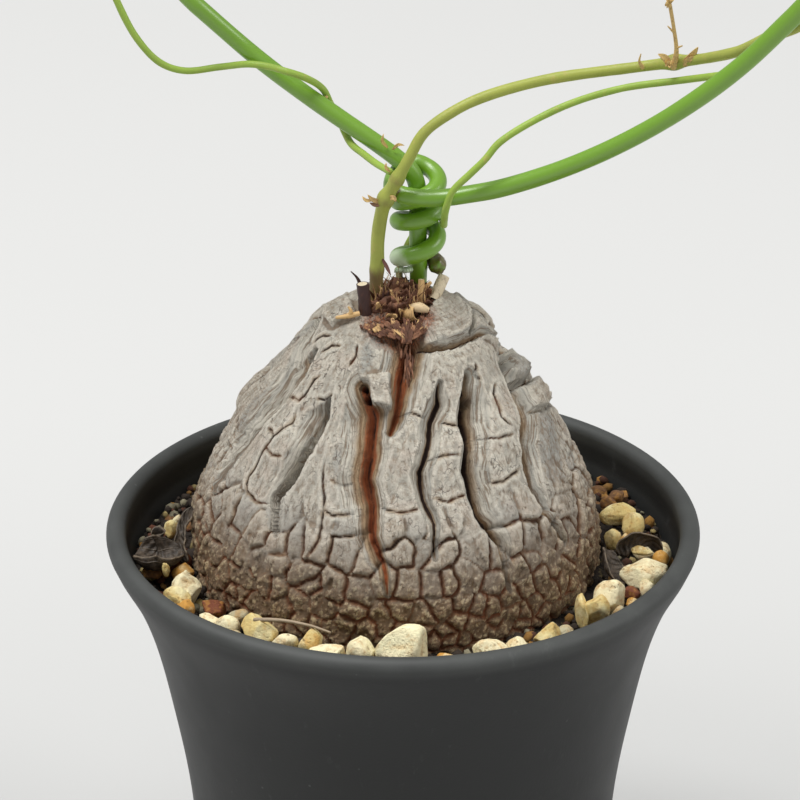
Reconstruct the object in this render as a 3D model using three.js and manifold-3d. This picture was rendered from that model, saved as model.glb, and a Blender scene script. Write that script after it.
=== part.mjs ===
// Potted tortoise plant: a corky tuber cracked into plates, in a deep plastic pot of grit, with
// thin twining shoots led up a ring of coated wire. Millimetres, +Z up. The origin is the middle
// of the pot's base, on the surface. The front looks along +Y, and an azimuth is in degrees from
// the front (-Y) round towards +X.

import * as THREE from "three";
import { mergeVertices } from "three/addons/utils/BufferGeometryUtils.js";
import Module from "manifold-3d";

const wasm = await Module();
wasm.setup();

// Room left between neighbours that touch on the real plant
const GAP = 0.3;
const FULL_TURN = 360;

// Pot: the outside as [radius, height] from the base to just under the rounded lip
const POT_SIDE = [
  [35, 0],
  [37.8, 32],
  [39.3, 52],
  [41.6, 67],
  [44.9, 83],
  [47.9, 92],
  [51.4, 99],
];
const POT_WALL = 1.7;
const POT_FLOOR = 2;
const POT_FACETS = 36;
const LIP_HEIGHT = 102;
const LIP_OUTSIDE = 52.5;
const LIP_ROUND = 1.75;
const LIP_STEPS = 5;
const POT_SMOOTHING = 7;
const DRAIN_COUNT = 6;
const DRAIN_RADIUS = 4;
const DRAIN_CIRCLE = 22;

// Grit mix
const MIX_TOP = 95.5;
const TUBER_ROOM = 1.5;
const STONE_SEED = 7;
const STONES_PER_RING = [26, 25];
const STONE_RINGS = [40.6, 44.2];
const STONE_SIZE = [2.2, 3.5];
const STONE_LENGTH = [1, 1.3];
const STONE_WIDTH = [0.8, 1.1];
const STONE_THICKNESS = [0.72, 0.92];
const STONE_SINK = [0.2, 0.7];
const STONE_SPREAD = 0.6;
const STONE_SPACE = 1.6;
const HEAP_FOOT = 88;
const HEAP_TOP = 112;

// Stones and a root end that stand out round the front: azimuth, distance out, height, radius
const MAIN_STONES = [
  [0, 40.8, 100.2, 4.3],
  [-10, 40.8, 98.6, 3.6],
  [-19, 41.6, 98.4, 3.4],
  [-37, 40.9, 97.6, 3.3],
  [-62, 42.6, 97.5, 3.6],
  [21, 41.4, 98.2, 3.4],
  [50, 41.6, 98.2, 3.5],
  [61, 42.2, 98.2, 3.6],
  [73, 42.8, 98.4, 3.8],
  [104, 41.6, 98.2, 3.4],
];

// Tuber: the skin as [radius, height] from the crown to the hidden root end
const TUBER_X = -1.4;
const TUBER_SIDE = [
  [6.2, 145.3],
  [9.7, 144],
  [13.5, 141],
  [17, 137],
  [20.7, 132],
  [25.2, 127],
  [27.8, 122],
  [32.2, 114],
  [35, 107],
  [36.2, 100],
  [35.9, 94],
  [33, 88],
  [26, 82],
  [14, 77],
];

// Rows of plates from the crown down: middle height, plates in the row, depth of the cracks
// round them, most that a plate stands proud of the skin, and how far its foot is lifted
const PLATE_ROWS = [
  { height: 142, count: 9, crack: 1.3, proud: 0.9, lift: 0.5 },
  { height: 134, count: 14, crack: 1.9, proud: 1.3, lift: 0.8 },
  { height: 124, count: 19, crack: 1.9, proud: 1.2, lift: 0.7 },
  { height: 114.5, count: 25, crack: 1.7, proud: 0.9, lift: 0.3 },
  { height: 107.5, count: 31, crack: 1.5, proud: 0.7, lift: 0 },
  { height: 102, count: 35, crack: 1.2, proud: 0.5, lift: 0 },
  { height: 97, count: 34, crack: 1.0, proud: 0.4, lift: 0 },
  { height: 91, count: 24, crack: 0.6, proud: 0.2, lift: 0 },
  { height: 82, count: 10, crack: 0.3, proud: 0, lift: 0 },
];
const PLATE_SEED = 31;
const PLATE_JITTER = 0.3;
const PLATE_SHARE = 0.86;
const BOSS_RISE = 0.3;

// Long splits in the bark: width at the skin, depth, and the line as [azimuth, height]
const SPLITS = [
  { width: 3.4, depth: 6, line: [[3, 145], [14, 141.5], [6, 137.8], [1, 133.6], [-3, 130]] },
  {
    width: 3.2,
    depth: 5,
    line: [[-17, 136], [-10, 132.5], [-10, 128], [-11, 124], [-8, 120], [-7, 115.5], [-3, 111], [-2, 107]],
  },
  {
    width: 3,
    depth: 5,
    line: [[46, 137], [38, 133], [36, 129.5], [28, 124.5], [29, 117.5], [33, 112], [33, 106]],
  },
  { width: 2.4, depth: 4, line: [[76, 132], [70, 128], [58, 124.5], [53, 118], [55, 112], [58, 108]] },
  { width: 3, depth: 3.6, line: [[-36, 133.5], [-35, 127], [-39, 121.5], [-42, 118], [-38, 114]] },
  { width: 4.2, depth: 3.6, line: [[-80, 139.5], [-65, 136], [-65, 129], [-70, 120.5], [-72, 114.5]] },
  { width: 1.8, depth: 3, line: [[25, 136], [16, 131], [10, 125], [10, 121], [13, 117]] },
  { width: 1.6, depth: 2.6, line: [[8, 141.6], [28, 141.4], [59, 139.8], [78, 139.2]] },
];

// The same kind of split round the back, one every few degrees, wandering down the tuber
const BACK_SPLITS = { from: 108, to: 252, count: 6, top: 138, bottom: 108, width: 2.8, depth: 4.2 };
const BACK_SEED = 12;
const SPLIT_OPENING = 2.5;
const SPLIT_TAPER = 0.3;

// Bark blocks that stand out: rise over the skin and corners as [azimuth, height]
const BLOCKS = [
  { rise: 2.2, corners: [[-18, 133.8], [-2, 133.6], [-2, 138.5], [-19, 138]] },
  { rise: 2.4, corners: [[31, 142], [58, 140.4], [66, 143.6], [40, 144.6]] },
  { rise: 2.6, corners: [[76, 138], [100, 136.6], [104, 140.6], [74, 142]] },
  { rise: 3.2, corners: [[84, 130.5], [104, 129.5], [106, 134], [88, 135]] },
  { rise: 2.4, corners: [[80, 124], [100, 122.5], [102, 128.6], [82, 130]] },
  { rise: 2, corners: [[-88, 126], [-76, 124], [-79, 137], [-92, 138]] },
];
const BLOCK_ROOT = 1.4;
const BLOCK_TAPER = 0.82;

// Crown: the fibrous bed that the shoots rise from, in a pocket in the tuber's top
const CROWN = { x: -0.6, y: -0.8, radius: 6.2, taper: 1, floor: 143.4, top: 146.4, bed: 4.4, reach: 9 };
const CROWN_FACETS = 14;
const FIBRES = { count: 22, seed: 5, root: 0.75, tip: 0.12, shortest: 1.6, longest: 3.6, spread: 4.6 };
const FIBRE_LEAN = 0.4;
const STUB_SIDES = 7;
const STUB_TAPER = 0.92;

// Cut and dried stubs: foot, tip and radius
const STUBS = [
  { foot: [-5.9, -3.1, 144.2], tip: [-6.5, -3.4, 149.6], radius: 1.05 },
  { foot: [3.2, -1.4, 144.6], tip: [3.1, -0.4, 149], radius: 0.65 },
  { foot: [4.0, 0.2, 145], tip: [6.6, 1.6, 148.6], radius: 1.05 },
  { foot: [2.2, -4.2, 144.6], tip: [3.3, -5.6, 146.6], radius: 1.2 },
  { foot: [-6.6, -1, 144.8], tip: [-9, -1.6, 150.6], radius: 0.4 },
  { foot: [-2.4, -3.4, 145], tip: [-2.6, -3.8, 151], radius: 0.45 },
];

// Support: coated wire, bent into a ring with one end wound on the other, which is the stake
const WIRE_RADIUS = 1.5;
const WIRE_SIDES = 8;
const RING = { centre: 8, height: 249, radius: 72.5, from: -40, to: 230, steps: 42 };
const RING_TURN = 20;
const KNOT = [1.3, 0];
const STAKE = [2.5, 3.1];

// The wound end as [turn in degrees, height, distance from the stake]
const WINDING = [
  [0, 150.1, 3.35],
  [180, 151.6, 3.35],
  [360, 155.6, 3.35],
  [540, 158.4, 3.35],
  [720, 161, 3.35],
  [900, 161.9, 3.35],
  [1080, 165.4, 3.4],
  [1170, 167.5, 3.7],
  [1260, 165.9, 4.2],
];
const WINDING_STEP = 36;
const RIGHT_ARM = [
  [-1.4, -1.2, 165.3],
  [2.5, -3.3, 165],
  [6.4, -3.6, 165.1],
  [11.2, -4.1, 166],
  [16.1, -5.7, 167.6],
  [25.8, -9.2, 172.2],
  [35.2, -12.6, 177.9],
  [44.4, -16, 184.9],
  [53.3, -19.2, 193.3],
];
const LEFT_ARM = [
  [-27, 13.3, 186],
  [-22.9, 11.8, 183],
  [-16.8, 9.6, 179],
  [-10.7, 7.4, 175.3],
  [-4.6, 5.2, 171.7],
  [-0.9, 3.8, 169.3],
  [1.4, 3.2, 167.2],
  [2.4, 3.1, 164.4],
];

// The stake: down through the cleft behind the crown, along the tuber's back and into the mix
const STAKE_ROUTE = [
  [2.5, 3.1, 158],
  [2.6, 3.2, 150],
  [2.6, 3.9, 146.8],
  [2.4, 6.4, 143.8],
  [1.6, 11, 141.4],
  [0.8, 16.4, 138.2],
  [0, 22.4, 132.8],
  [-0.6, 28, 126.4],
  [-1, 32, 120.6],
  [-1.2, 35.6, 114],
  [-1.4, 38.4, 106.8],
  [-1.4, 39.8, 99],
  [-1.4, 39.8, 90],
  [-1.4, 37.4, 76],
  [-1.4, 33.6, 58],
];
const ARM_STEP = 6;
const WIRE_ROOM = 0.35;

// Shoots: the routes by hand up to the ring, then twined along it
const MAIN_SHOOT = [
  [-4.5, -0.9, 145.2],
  [-4.6, -1, 148.4],
  [-4.4, -1.5, 152.7],
  [-4.3, -2, 156.9],
  [-3.7, -2.8, 161.7],
  [-2.9, -3.9, 165.1],
  [-1, -5, 169],
  [1, -4.9, 172.7],
  [3.4, -4, 176.7],
  [8.5, -3, 180.3],
  [13.5, -2, 182.4],
  [23.5, 0, 184.6],
  [38.3, 0, 186.8],
  [45.4, -3, 188.8],
  [49.8, -7, 190.8],
  [54, -12.5, 193.8],
];
const LEFT_SHOOT = [
  [-2.25, -3.5, 169.75],
  [-4.6, -0.2, 170],
  [-6.6, 3, 170.4],
  [-8.7, 6.2, 171],
  [-9.9, 9, 172.1],
  [-11.1, 10.7, 174.3],
  [-12.3, 11, 176.5],
  [-13.6, 10.2, 179.5],
  [-16.7, 7, 182.7],
  [-19.8, 6.9, 183.8],
  [-22.8, 8.8, 184],
  [-25.9, 10, 184],
  [-31.1, 13, 182.5],
  [-37.2, 12.5, 182],
  [-41.2, 12, 183.6],
  [-45.1, 12, 188.1],
  [-48.8, 13, 195.7],
  [-52.4, 16, 204],
  [-55.4, 19.4, 212],
  [-56.1, 20.8, 218],
];
const THIN_SHOOT = [
  [-0.4, 3.6, 145.2],
  [-0.6, 6.8, 148],
  [1.4, 9.4, 152.6],
  [4.6, 9.4, 156.6],
  [6.5, 6.6, 158.9],
  [6.7, 3.4, 158.4],
  [6.9, -0.2, 158.9],
  [6.9, -4.4, 161.8],
  [7.2, -6.5, 164.6],
  [8.2, -7, 167.6],
  [11.1, -6.8, 170.6],
  [13.5, -6.8, 173.1],
  [16, -6, 175.9],
  [25.8, -4, 181.1],
  [35.7, -2.5, 183.9],
  [45.5, -4.6, 185.2],
  [51, -9.6, 187.4],
];
const SHOOT_SIDES = 6;
const MAIN_SHOOT_RADIUS = 1.15;
const SIDE_SHOOT_RADIUS = 0.6;
const SHOOT_STEP = 5;
const BUD_RADIUS = 1.7;
const BUD_PLACES = [
  [-2.9, -3.9, 165.1],
  [-1, -5, 169],
  [44.4, -2.7, 188.4],
];

// How the shoots wind on the ring: degrees of ring to a turn, and the step between points
const TWINE_TURN = 38;
const TWINE_STEP = 3.6;
const CLIMB = { from: -45, phase: 90 };
const SPRAY_BREAK = 0.4;

// Leafy lengths of shoot on the ring: where on the ring each starts and ends, the side of the
// wire that it starts on, its radius and its seed for the leaves
const SPRAYS = [
  { name: "leafy_shoot_right_low", from: -17, to: 20.6, phase: 175, radius: 1, seed: 3 },
  { name: "leafy_shoot_right_high", from: 21, to: 58.6, phase: 175, radius: 0.9, seed: 14 },
  { name: "leafy_shoot_top", from: 59, to: 96.6, phase: 175, radius: 0.8, seed: 25 },
  { name: "leafy_shoot_left_low", from: 203, to: 165.4, phase: 0, radius: 0.8, seed: 36 },
  { name: "leafy_shoot_left_high", from: 165, to: 127.4, phase: 0, radius: 0.7, seed: 47 },
  { name: "leafy_shoot_left_tip", from: 127, to: 106, phase: 0, radius: 0.6, seed: 58 },
];

// The ways that leaves leave the shoot: degrees round the wire from straight out of the ring
const LEAF_SIDES = [-75, 10, 85];
const STALK_LENGTH = 8;
const STALK_RADIUS = 0.5;
const STALK_SIDES = 4;
const STALK_ROOT = 1.2;

// A heart-shaped leaf for one unit of length: half its outline as [across, along]
const LEAF_HALF = [
  [0.12, -0.14],
  [0.34, -0.15],
  [0.49, 0.06],
  [0.45, 0.34],
  [0.24, 0.64],
  [0.02, 1],
];
const LEAF_RIB = [0, 0.06, 0.2, 0.42, 0.7, 1];
const LEAF_FOLD = 0.18;
const LEAF_THICKNESS = 0.7;
const LEAF_LENGTHS = [20, 27];

// Fallen leaves on the mix: middle, heading, length, and how far they curl
const DRY_LEAVES = [
  { name: "dry_leaf_left", at: [-42.8, -7.2, 101.2], heading: 4, length: 9.5, curl: 0.2 },
  { name: "dry_leaf_right", at: [42, -4.6, 99.9], heading: -6, length: 9, curl: 0.2 },
  { name: "dry_leaf_right_low", at: [40.2, -15, 98], heading: -8, length: 7.5, curl: 0.2 },
];
const DRY_LEAF_THICKNESS = 0.7;
const DRY_STALK = [
  [-24.8, -32.8, 100.8],
  [-20.4, -34.8, 101.8],
  [-15.6, -36.2, 101.6],
  [-12.2, -37.6, 101.1],
];
const DRY_STALK_RADIUS = 0.4;
const DRY_STALK_STEP = 3;

const radians = THREE.MathUtils.degToRad;
const vector = (place) => new THREE.Vector3(...place);

// Seeded draws between 0 and 1, the same on every run
function draws(seed) {
  const multiplier = 1664525;
  const increment = 1013904223;
  const modulus = 4294967296;
  let state = seed;
  return () => {
    state = (state * multiplier + increment) % modulus;
    return state / modulus;
  };
}

// A closed solid from a geometry, its shared corners merged
function solidOf(geometry) {
  const bare = new THREE.BufferGeometry();
  bare.setAttribute("position", geometry.getAttribute("position"));
  bare.setIndex(geometry.getIndex());
  const merged = mergeVertices(bare, 1e-4);
  const mesh = new wasm.Mesh({
    numProp: 3,
    vertProperties: merged.getAttribute("position").array,
    triVerts: new Uint32Array(merged.getIndex().array),
  });
  return new wasm.Manifold(mesh);
}

function geometryOf(solid) {
  const mesh = solid.getMesh();
  const geometry = new THREE.BufferGeometry();
  geometry.setAttribute("position", new THREE.BufferAttribute(new Float32Array(mesh.vertProperties), 3));
  geometry.setIndex(new THREE.BufferAttribute(new Uint32Array(mesh.triVerts), 1));
  geometry.computeVertexNormals();
  return geometry;
}

function joined(solids) {
  return solids.reduce((whole, piece) => whole.add(piece));
}

// The main body of a solid, without the loose scraps that cutting leaves
function mainBody(solid) {
  return solid.decompose().reduce((largest, body) => (body.volume() > largest.volume() ? body : largest));
}

// A closed solid from listed corners and triangles
function meshSolid(corners, triangles) {
  const geometry = new THREE.BufferGeometry();
  const positions = new Float32Array(corners.flatMap((corner) => [corner.x, corner.y, corner.z]));
  geometry.setAttribute("position", new THREE.BufferAttribute(positions, 3));
  geometry.setIndex(triangles.flat());
  return solidOf(geometry);
}

// A path that is swept at its own points, so that tight bends get closer rings than straight runs
class DrawnPath extends THREE.Curve {
  constructor(points) {
    super();
    this.points = points;
  }

  getSpacedPoints() {
    return this.points;
  }

  getTangentAt(share) {
    const last = this.points.length - 1;
    const index = Math.round(share * last);
    const before = this.points[Math.max(index - 1, 0)];
    const after = this.points[Math.min(index + 1, last)];
    return after.clone().sub(before).normalize();
  }
}

function smoothPoints(route, step) {
  const curve = new THREE.CatmullRomCurve3(route.map(vector), false, "centripetal");
  return curve.getSpacedPoints(Math.max(2, Math.round(curve.getLength() / step)));
}

function tube(points, radius, sides) {
  const corners = [];
  for (let side = 0; side < sides; side += 1) {
    const angle = (side / sides) * 2 * Math.PI;
    corners.push(new THREE.Vector2(radius * Math.cos(angle), radius * Math.sin(angle)));
  }
  const settings = { steps: points.length - 1, bevelEnabled: false, extrudePath: new DrawnPath(points) };
  return solidOf(new THREE.ExtrudeGeometry(new THREE.Shape(corners), settings));
}

// A body turned round a vertical axis: its profile starts and ends on the axis
function turned(profile, facets, x = 0) {
  const points = profile.map(([radius, height]) => new THREE.Vector2(radius, height));
  const geometry = new THREE.LatheGeometry(points, facets);
  geometry.rotateX(Math.PI / 2);
  geometry.translate(x, 0, 0);
  return solidOf(geometry);
}

// The distance out at a height on a side listed as [radius, height]
function radiusAt(side, height) {
  const rising = side[0][1] < side[side.length - 1][1];
  const ordered = rising ? side : [...side].reverse();
  const above = Math.max(1, ordered.findIndex(([, level]) => level >= height));
  const [lowRadius, low] = ordered[above - 1];
  const [highRadius, high] = ordered[above];
  return THREE.MathUtils.mapLinear(height, low, high, lowRadius, highRadius);
}

// Pot

function potOutline() {
  const curve = new THREE.SplineCurve(POT_SIDE.map(([radius, height]) => new THREE.Vector2(radius, height)));
  return curve.getPoints(POT_SMOOTHING).map((point) => [point.x, point.y]);
}

function lipArc() {
  const middle = LIP_OUTSIDE - LIP_ROUND;
  const arc = [];
  for (let step = 0; step <= LIP_STEPS; step += 1) {
    const angle = (step / LIP_STEPS) * Math.PI;
    arc.push([middle + LIP_ROUND * Math.cos(angle), LIP_HEIGHT + LIP_ROUND * Math.sin(angle)]);
  }
  return arc;
}

// The pot's inner wall from its floor to the lip, as [radius, height]
function potInside() {
  const wall = potOutline()
    .filter(([, height]) => height > POT_FLOOR && height < LIP_HEIGHT - 2 * LIP_ROUND)
    .map(([radius, height]) => [radius - POT_WALL, height]);
  const foot = [POT_SIDE[0][0] - POT_WALL, POT_FLOOR];
  return [foot, ...wall, [LIP_OUTSIDE - 2 * LIP_ROUND, LIP_HEIGHT]];
}

function drainHole(index) {
  const hole = new THREE.CylinderGeometry(DRAIN_RADIUS, DRAIN_RADIUS, 4 * POT_FLOOR, 12);
  const angle = radians((index / DRAIN_COUNT) * FULL_TURN);
  hole.rotateX(Math.PI / 2);
  hole.translate(DRAIN_CIRCLE * Math.cos(angle), DRAIN_CIRCLE * Math.sin(angle), POT_FLOOR / 2);
  return solidOf(hole);
}

function pot() {
  const inside = potInside().slice(0, -1).reverse();
  const profile = [[0, 0], ...potOutline(), ...lipArc(), ...inside, [0, POT_FLOOR]];
  let body = turned(profile, POT_FACETS);
  for (let index = 0; index < DRAIN_COUNT; index += 1) {
    body = body.subtract(drainHole(index));
  }
  return body;
}

// Grit mix with its stones

function stone(centre, radius, next) {
  const geometry = new THREE.IcosahedronGeometry(radius, 0);
  const ranges = [STONE_LENGTH, STONE_WIDTH, STONE_THICKNESS];
  geometry.scale(...ranges.map((range) => THREE.MathUtils.lerp(...range, next())));
  geometry.rotateZ(next() * 2 * Math.PI);
  geometry.rotateX(next() - 0.5);
  geometry.translate(...centre);
  return solidOf(geometry);
}

function around(azimuth, distance, height) {
  const angle = radians(azimuth);
  return [distance * Math.sin(angle), -distance * Math.cos(angle), height];
}

function isFree(place, taken) {
  return taken.every(([x, y, , radius]) => Math.hypot(place[0] - x, place[1] - y) > radius + STONE_SPACE);
}

function stones() {
  const next = draws(STONE_SEED);
  const placed = MAIN_STONES.map(([azimuth, distance, height, radius]) => [
    ...around(azimuth, distance, height),
    radius,
  ]);
  const solids = placed.map(([x, y, z, radius]) => stone([x, y, z], radius, next));
  STONE_RINGS.forEach((ring, row) => {
    const count = STONES_PER_RING[row];
    for (let index = 0; index < count; index += 1) {
      const azimuth = ((index + STONE_SPREAD * next()) / count) * FULL_TURN;
      const radius = THREE.MathUtils.lerp(...STONE_SIZE, next());
      const distance = ring + next() - 0.5;
      const place = around(azimuth, distance, MIX_TOP + radius * THREE.MathUtils.lerp(...STONE_SINK, next()));
      if (isFree(place, placed)) solids.push(stone(place, radius, next));
    }
  });
  return solids;
}

// The tuber's skin below a height, set out by some room
function tuberBelow(height, room) {
  const below = TUBER_SIDE.filter(([, level]) => level < height);
  const lower = below.map(([radius, level]) => [radius + room, level]);
  const foot = TUBER_SIDE[TUBER_SIDE.length - 1][1] - room;
  return [[radiusAt(TUBER_SIDE, height) + room, height], ...lower, [0, foot]];
}

function growingMix(wireHole) {
  const bowl = tuberBelow(MIX_TOP, TUBER_ROOM);
  const inside = potInside();
  const floor = POT_FLOOR + GAP;
  const fit = (height) => [radiusAt(inside, height) - GAP, height];
  const wall = inside.map(([, height]) => height).filter((height) => height > floor && height < MIX_TOP);
  const bed = turned([[0, floor], ...[floor, ...wall, MIX_TOP].map(fit), ...bowl], POT_FACETS);
  const tuberTop = tuberBelow(TUBER_SIDE[3][1], TUBER_ROOM);
  const tuber = turned([[0, TUBER_SIDE[3][1]], ...tuberTop].reverse(), POT_FACETS, TUBER_X);
  const above = inside.map(([, height]) => height).filter((height) => height > HEAP_FOOT);
  const edge = fit(LIP_HEIGHT)[0];
  const sides = [HEAP_FOOT, ...above].map(fit);
  const space = turned([[0, HEAP_FOOT], ...sides, [edge, HEAP_TOP], [0, HEAP_TOP]], POT_FACETS);
  const heap = joined(stones()).intersect(space);
  return mainBody(bed.add(heap).subtract(tuber).subtract(wireHole));
}

// Tuber

const plateSpacing = (row) => FULL_TURN / PLATE_ROWS[row].count;

// Each row's place down an even map of the skin, on which all plates are about as wide as tall
function plateLevels() {
  const levels = [plateSpacing(0) / 2];
  for (let row = 1; row < PLATE_ROWS.length; row += 1) {
    levels.push(levels[row - 1] + (plateSpacing(row - 1) + plateSpacing(row)) / 2);
  }
  return levels;
}

const LEVELS = plateLevels();
const MAP_BOTTOM = LEVELS[LEVELS.length - 1] + plateSpacing(PLATE_ROWS.length - 1) / 2;

// A value listed for each row, read anywhere down the map
function rowValue(level, values) {
  const marks = [0, ...LEVELS, MAP_BOTTOM];
  const index = Math.min(Math.max(marks.findIndex((mark) => mark >= level), 1), marks.length - 1);
  return THREE.MathUtils.mapLinear(level, marks[index - 1], marks[index], values[index - 1], values[index]);
}

function heightAt(level) {
  const rows = PLATE_ROWS.map((row) => row.height);
  return rowValue(level, [TUBER_SIDE[0][1], ...rows, TUBER_SIDE[TUBER_SIDE.length - 1][1]]);
}

function crackAt(level) {
  const rows = PLATE_ROWS.map((row) => row.crack);
  return rowValue(level, [0, ...rows, 0]);
}

// A point on the skin at an azimuth and height, and the way straight out of it
function skin(azimuth, height) {
  const step = 0.5;
  const radius = radiusAt(TUBER_SIDE, height);
  const slope = (radiusAt(TUBER_SIDE, height - step) - radiusAt(TUBER_SIDE, height + step)) / (2 * step);
  const angle = radians(azimuth);
  const out = new THREE.Vector3(Math.sin(angle), -Math.cos(angle), slope).normalize();
  const point = new THREE.Vector3(TUBER_X + radius * Math.sin(angle), -radius * Math.cos(angle), height);
  return { point, out };
}

function onSkin(azimuth, height, rise) {
  const place = skin(azimuth, height);
  return place.point.addScaledVector(place.out, rise);
}

function plateSites() {
  const next = draws(PLATE_SEED);
  const sites = [];
  PLATE_ROWS.forEach((row, index) => {
    const spacing = plateSpacing(index);
    for (let place = 0; place < row.count; place += 1) {
      const azimuth = (place + 0.5 * (index % 2) + PLATE_JITTER * (2 * next() - 1)) * spacing;
      const level = LEVELS[index] + PLATE_JITTER * (2 * next() - 1) * spacing;
      sites.push({ azimuth, level, row, proud: row.proud * next(), spacing });
    }
  });
  return sites;
}

// The part of a polygon on the map that lies nearer to one site than to another
function nearerPart(polygon, site, azimuth, level) {
  const across = azimuth - site.azimuth;
  const down = level - site.level;
  const half = (across * across + down * down) / 2;
  const over = (corner) => (corner[0] - site.azimuth) * across + (corner[1] - site.level) * down - half;
  const kept = [];
  polygon.forEach((corner, index) => {
    const following = polygon[(index + 1) % polygon.length];
    const here = over(corner);
    const there = over(following);
    if (here <= 0) kept.push(corner);
    if (here * there < 0) {
      const share = here / (here - there);
      const crossing = [0, 1].map((axis) => THREE.MathUtils.lerp(corner[axis], following[axis], share));
      kept.push(crossing);
    }
  });
  return kept;
}

// A plate's outline on the map, with its corners in order as seen from outside
function plateOutline(site, sites) {
  const reach = 2.5 * site.spacing;
  const left = site.azimuth - reach;
  const right = site.azimuth + reach;
  let outline = [
    [left, MAP_BOTTOM],
    [right, MAP_BOTTOM],
    [right, 0],
    [left, 0],
  ];
  sites.forEach((other) => {
    if (other === site || Math.abs(other.level - site.level) > 2 * reach) return;
    [-FULL_TURN, 0, FULL_TURN].forEach((turn) => {
      if (Math.abs(other.azimuth + turn - site.azimuth) > 2 * reach) return;
      outline = nearerPart(outline, site, other.azimuth + turn, other.level);
    });
  });
  return outline;
}

// The whole bark: each plate is a low boss whose edge drops to cracks shared with its neighbours
function plates() {
  const corners = [];
  const triangles = [];
  const ground = [];
  const close = 0.02;
  const groundIndex = ([azimuth, level]) => {
    const wrapped = ((azimuth % FULL_TURN) + FULL_TURN) % FULL_TURN;
    const known = ground.find((mark) => {
      const apart = Math.abs(mark.azimuth - wrapped);
      return Math.min(apart, FULL_TURN - apart) < close && Math.abs(mark.level - level) < close;
    });
    if (known) return known.index;
    corners.push(onSkin(wrapped, heightAt(level), -crackAt(level)));
    ground.push({ azimuth: wrapped, level, index: corners.length - 1 });
    return corners.length - 1;
  };
  const sites = plateSites();
  sites.forEach((site) => {
    const outline = plateOutline(site, sites);
    const feet = outline.map(groundIndex);
    const tops = outline.map(([azimuth, level]) => {
      const across = THREE.MathUtils.lerp(site.azimuth, azimuth, PLATE_SHARE);
      const down = THREE.MathUtils.lerp(site.level, level, PLATE_SHARE);
      const lift = (site.row.lift * (level - site.level)) / site.spacing;
      corners.push(onSkin(across, heightAt(down), site.proud + lift));
      return corners.length - 1;
    });
    corners.push(onSkin(site.azimuth, heightAt(site.level), site.proud + BOSS_RISE));
    const middle = corners.length - 1;
    feet.forEach((foot, index) => {
      const after = (index + 1) % feet.length;
      if (foot === feet[after]) {
        triangles.push([foot, tops[after], tops[index]]);
      } else {
        triangles.push([foot, feet[after], tops[after]], [foot, tops[after], tops[index]]);
      }
      triangles.push([tops[index], tops[after], middle]);
    });
  });
  const ends = [
    { level: 0, height: TUBER_SIDE[0][1] },
    { level: MAP_BOTTOM, height: TUBER_SIDE[TUBER_SIDE.length - 1][1] },
  ];
  ends.forEach(({ level, height }) => {
    const rim = ground.filter((mark) => Math.abs(mark.level - level) < close);
    rim.sort((one, other) => one.azimuth - other.azimuth);
    corners.push(new THREE.Vector3(TUBER_X, 0, height));
    const middle = corners.length - 1;
    rim.forEach((mark, index) => {
      const after = rim[(index + 1) % rim.length];
      const inOrder = level === 0 ? [mark.index, after.index, middle] : [after.index, mark.index, middle];
      triangles.push(inOrder);
    });
  });
  return meshSolid(corners, triangles);
}

// A closed strip from rings of corners, one ring for each place along it
function strip(rings) {
  const sides = rings[0].length;
  const triangles = [];
  for (let row = 0; row < rings.length - 1; row += 1) {
    for (let side = 0; side < sides; side += 1) {
      const here = row * sides + side;
      const beside = row * sides + ((side + 1) % sides);
      triangles.push([here, beside, beside + sides], [here, beside + sides, here + sides]);
    }
  }
  const last = (rings.length - 1) * sides;
  for (let side = 1; side < sides - 1; side += 1) {
    triangles.push([0, side + 1, side], [last, last + side, last + side + 1]);
  }
  return meshSolid(rings.flat(), triangles);
}

// The wedge of air that a split leaves, deepest at its middle and closing at its ends
function splitWedge({ width, depth, line }) {
  const rings = line.map(([azimuth, height], index) => {
    const before = line[Math.max(index - 1, 0)];
    const after = line[Math.min(index + 1, line.length - 1)];
    const along = skin(...after).point.sub(skin(...before).point).normalize();
    const { point, out } = skin(azimuth, height);
    const across = along.cross(out).normalize();
    const share = SPLIT_TAPER + (1 - SPLIT_TAPER) * Math.sin((Math.PI * (index + 0.5)) / line.length);
    const half = (width / 2) * share * (1 + SPLIT_OPENING / depth);
    const outside = point.clone().addScaledVector(out, SPLIT_OPENING);
    const bottom = point.clone().addScaledVector(out, -depth * share);
    return [outside.clone().addScaledVector(across, half), bottom, outside.addScaledVector(across, -half)];
  });
  return strip(rings);
}

function backSplits() {
  const next = draws(BACK_SEED);
  const { from, to, count, top, bottom, width, depth } = BACK_SPLITS;
  const splits = [];
  for (let index = 0; index < count; index += 1) {
    const azimuth = THREE.MathUtils.lerp(from, to, index / (count - 1));
    const start = top - 6 * next();
    const end = bottom + 8 * next();
    const line = [0, 0.25, 0.5, 0.75, 1].map((share) => [
      azimuth + 8 * (next() - 0.5),
      THREE.MathUtils.lerp(start, end, share),
    ]);
    splits.push({ width: width * (0.7 + 0.5 * next()), depth, line });
  }
  return splits;
}

// A block of bark between four corners on the skin
function block({ rise, corners }) {
  const average = (axis) => corners.reduce((sum, corner) => sum + corner[axis], 0) / corners.length;
  const middle = [0, 1].map(average);
  const foot = corners.map(([azimuth, height]) => onSkin(azimuth, height, -BLOCK_ROOT));
  const top = corners.map(([azimuth, height]) => {
    const across = THREE.MathUtils.lerp(middle[0], azimuth, BLOCK_TAPER);
    const up = THREE.MathUtils.lerp(middle[1], height, BLOCK_TAPER);
    return onSkin(across, up, rise);
  });
  return strip([foot, top]);
}

// A drum round the crown's middle, narrower at its foot
function crownDrum(radius, low, height) {
  const drum = new THREE.CylinderGeometry(radius, radius - CROWN.taper, height, CROWN_FACETS);
  drum.rotateX(Math.PI / 2);
  drum.translate(CROWN.x, CROWN.y, low + height / 2);
  return solidOf(drum);
}

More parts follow.
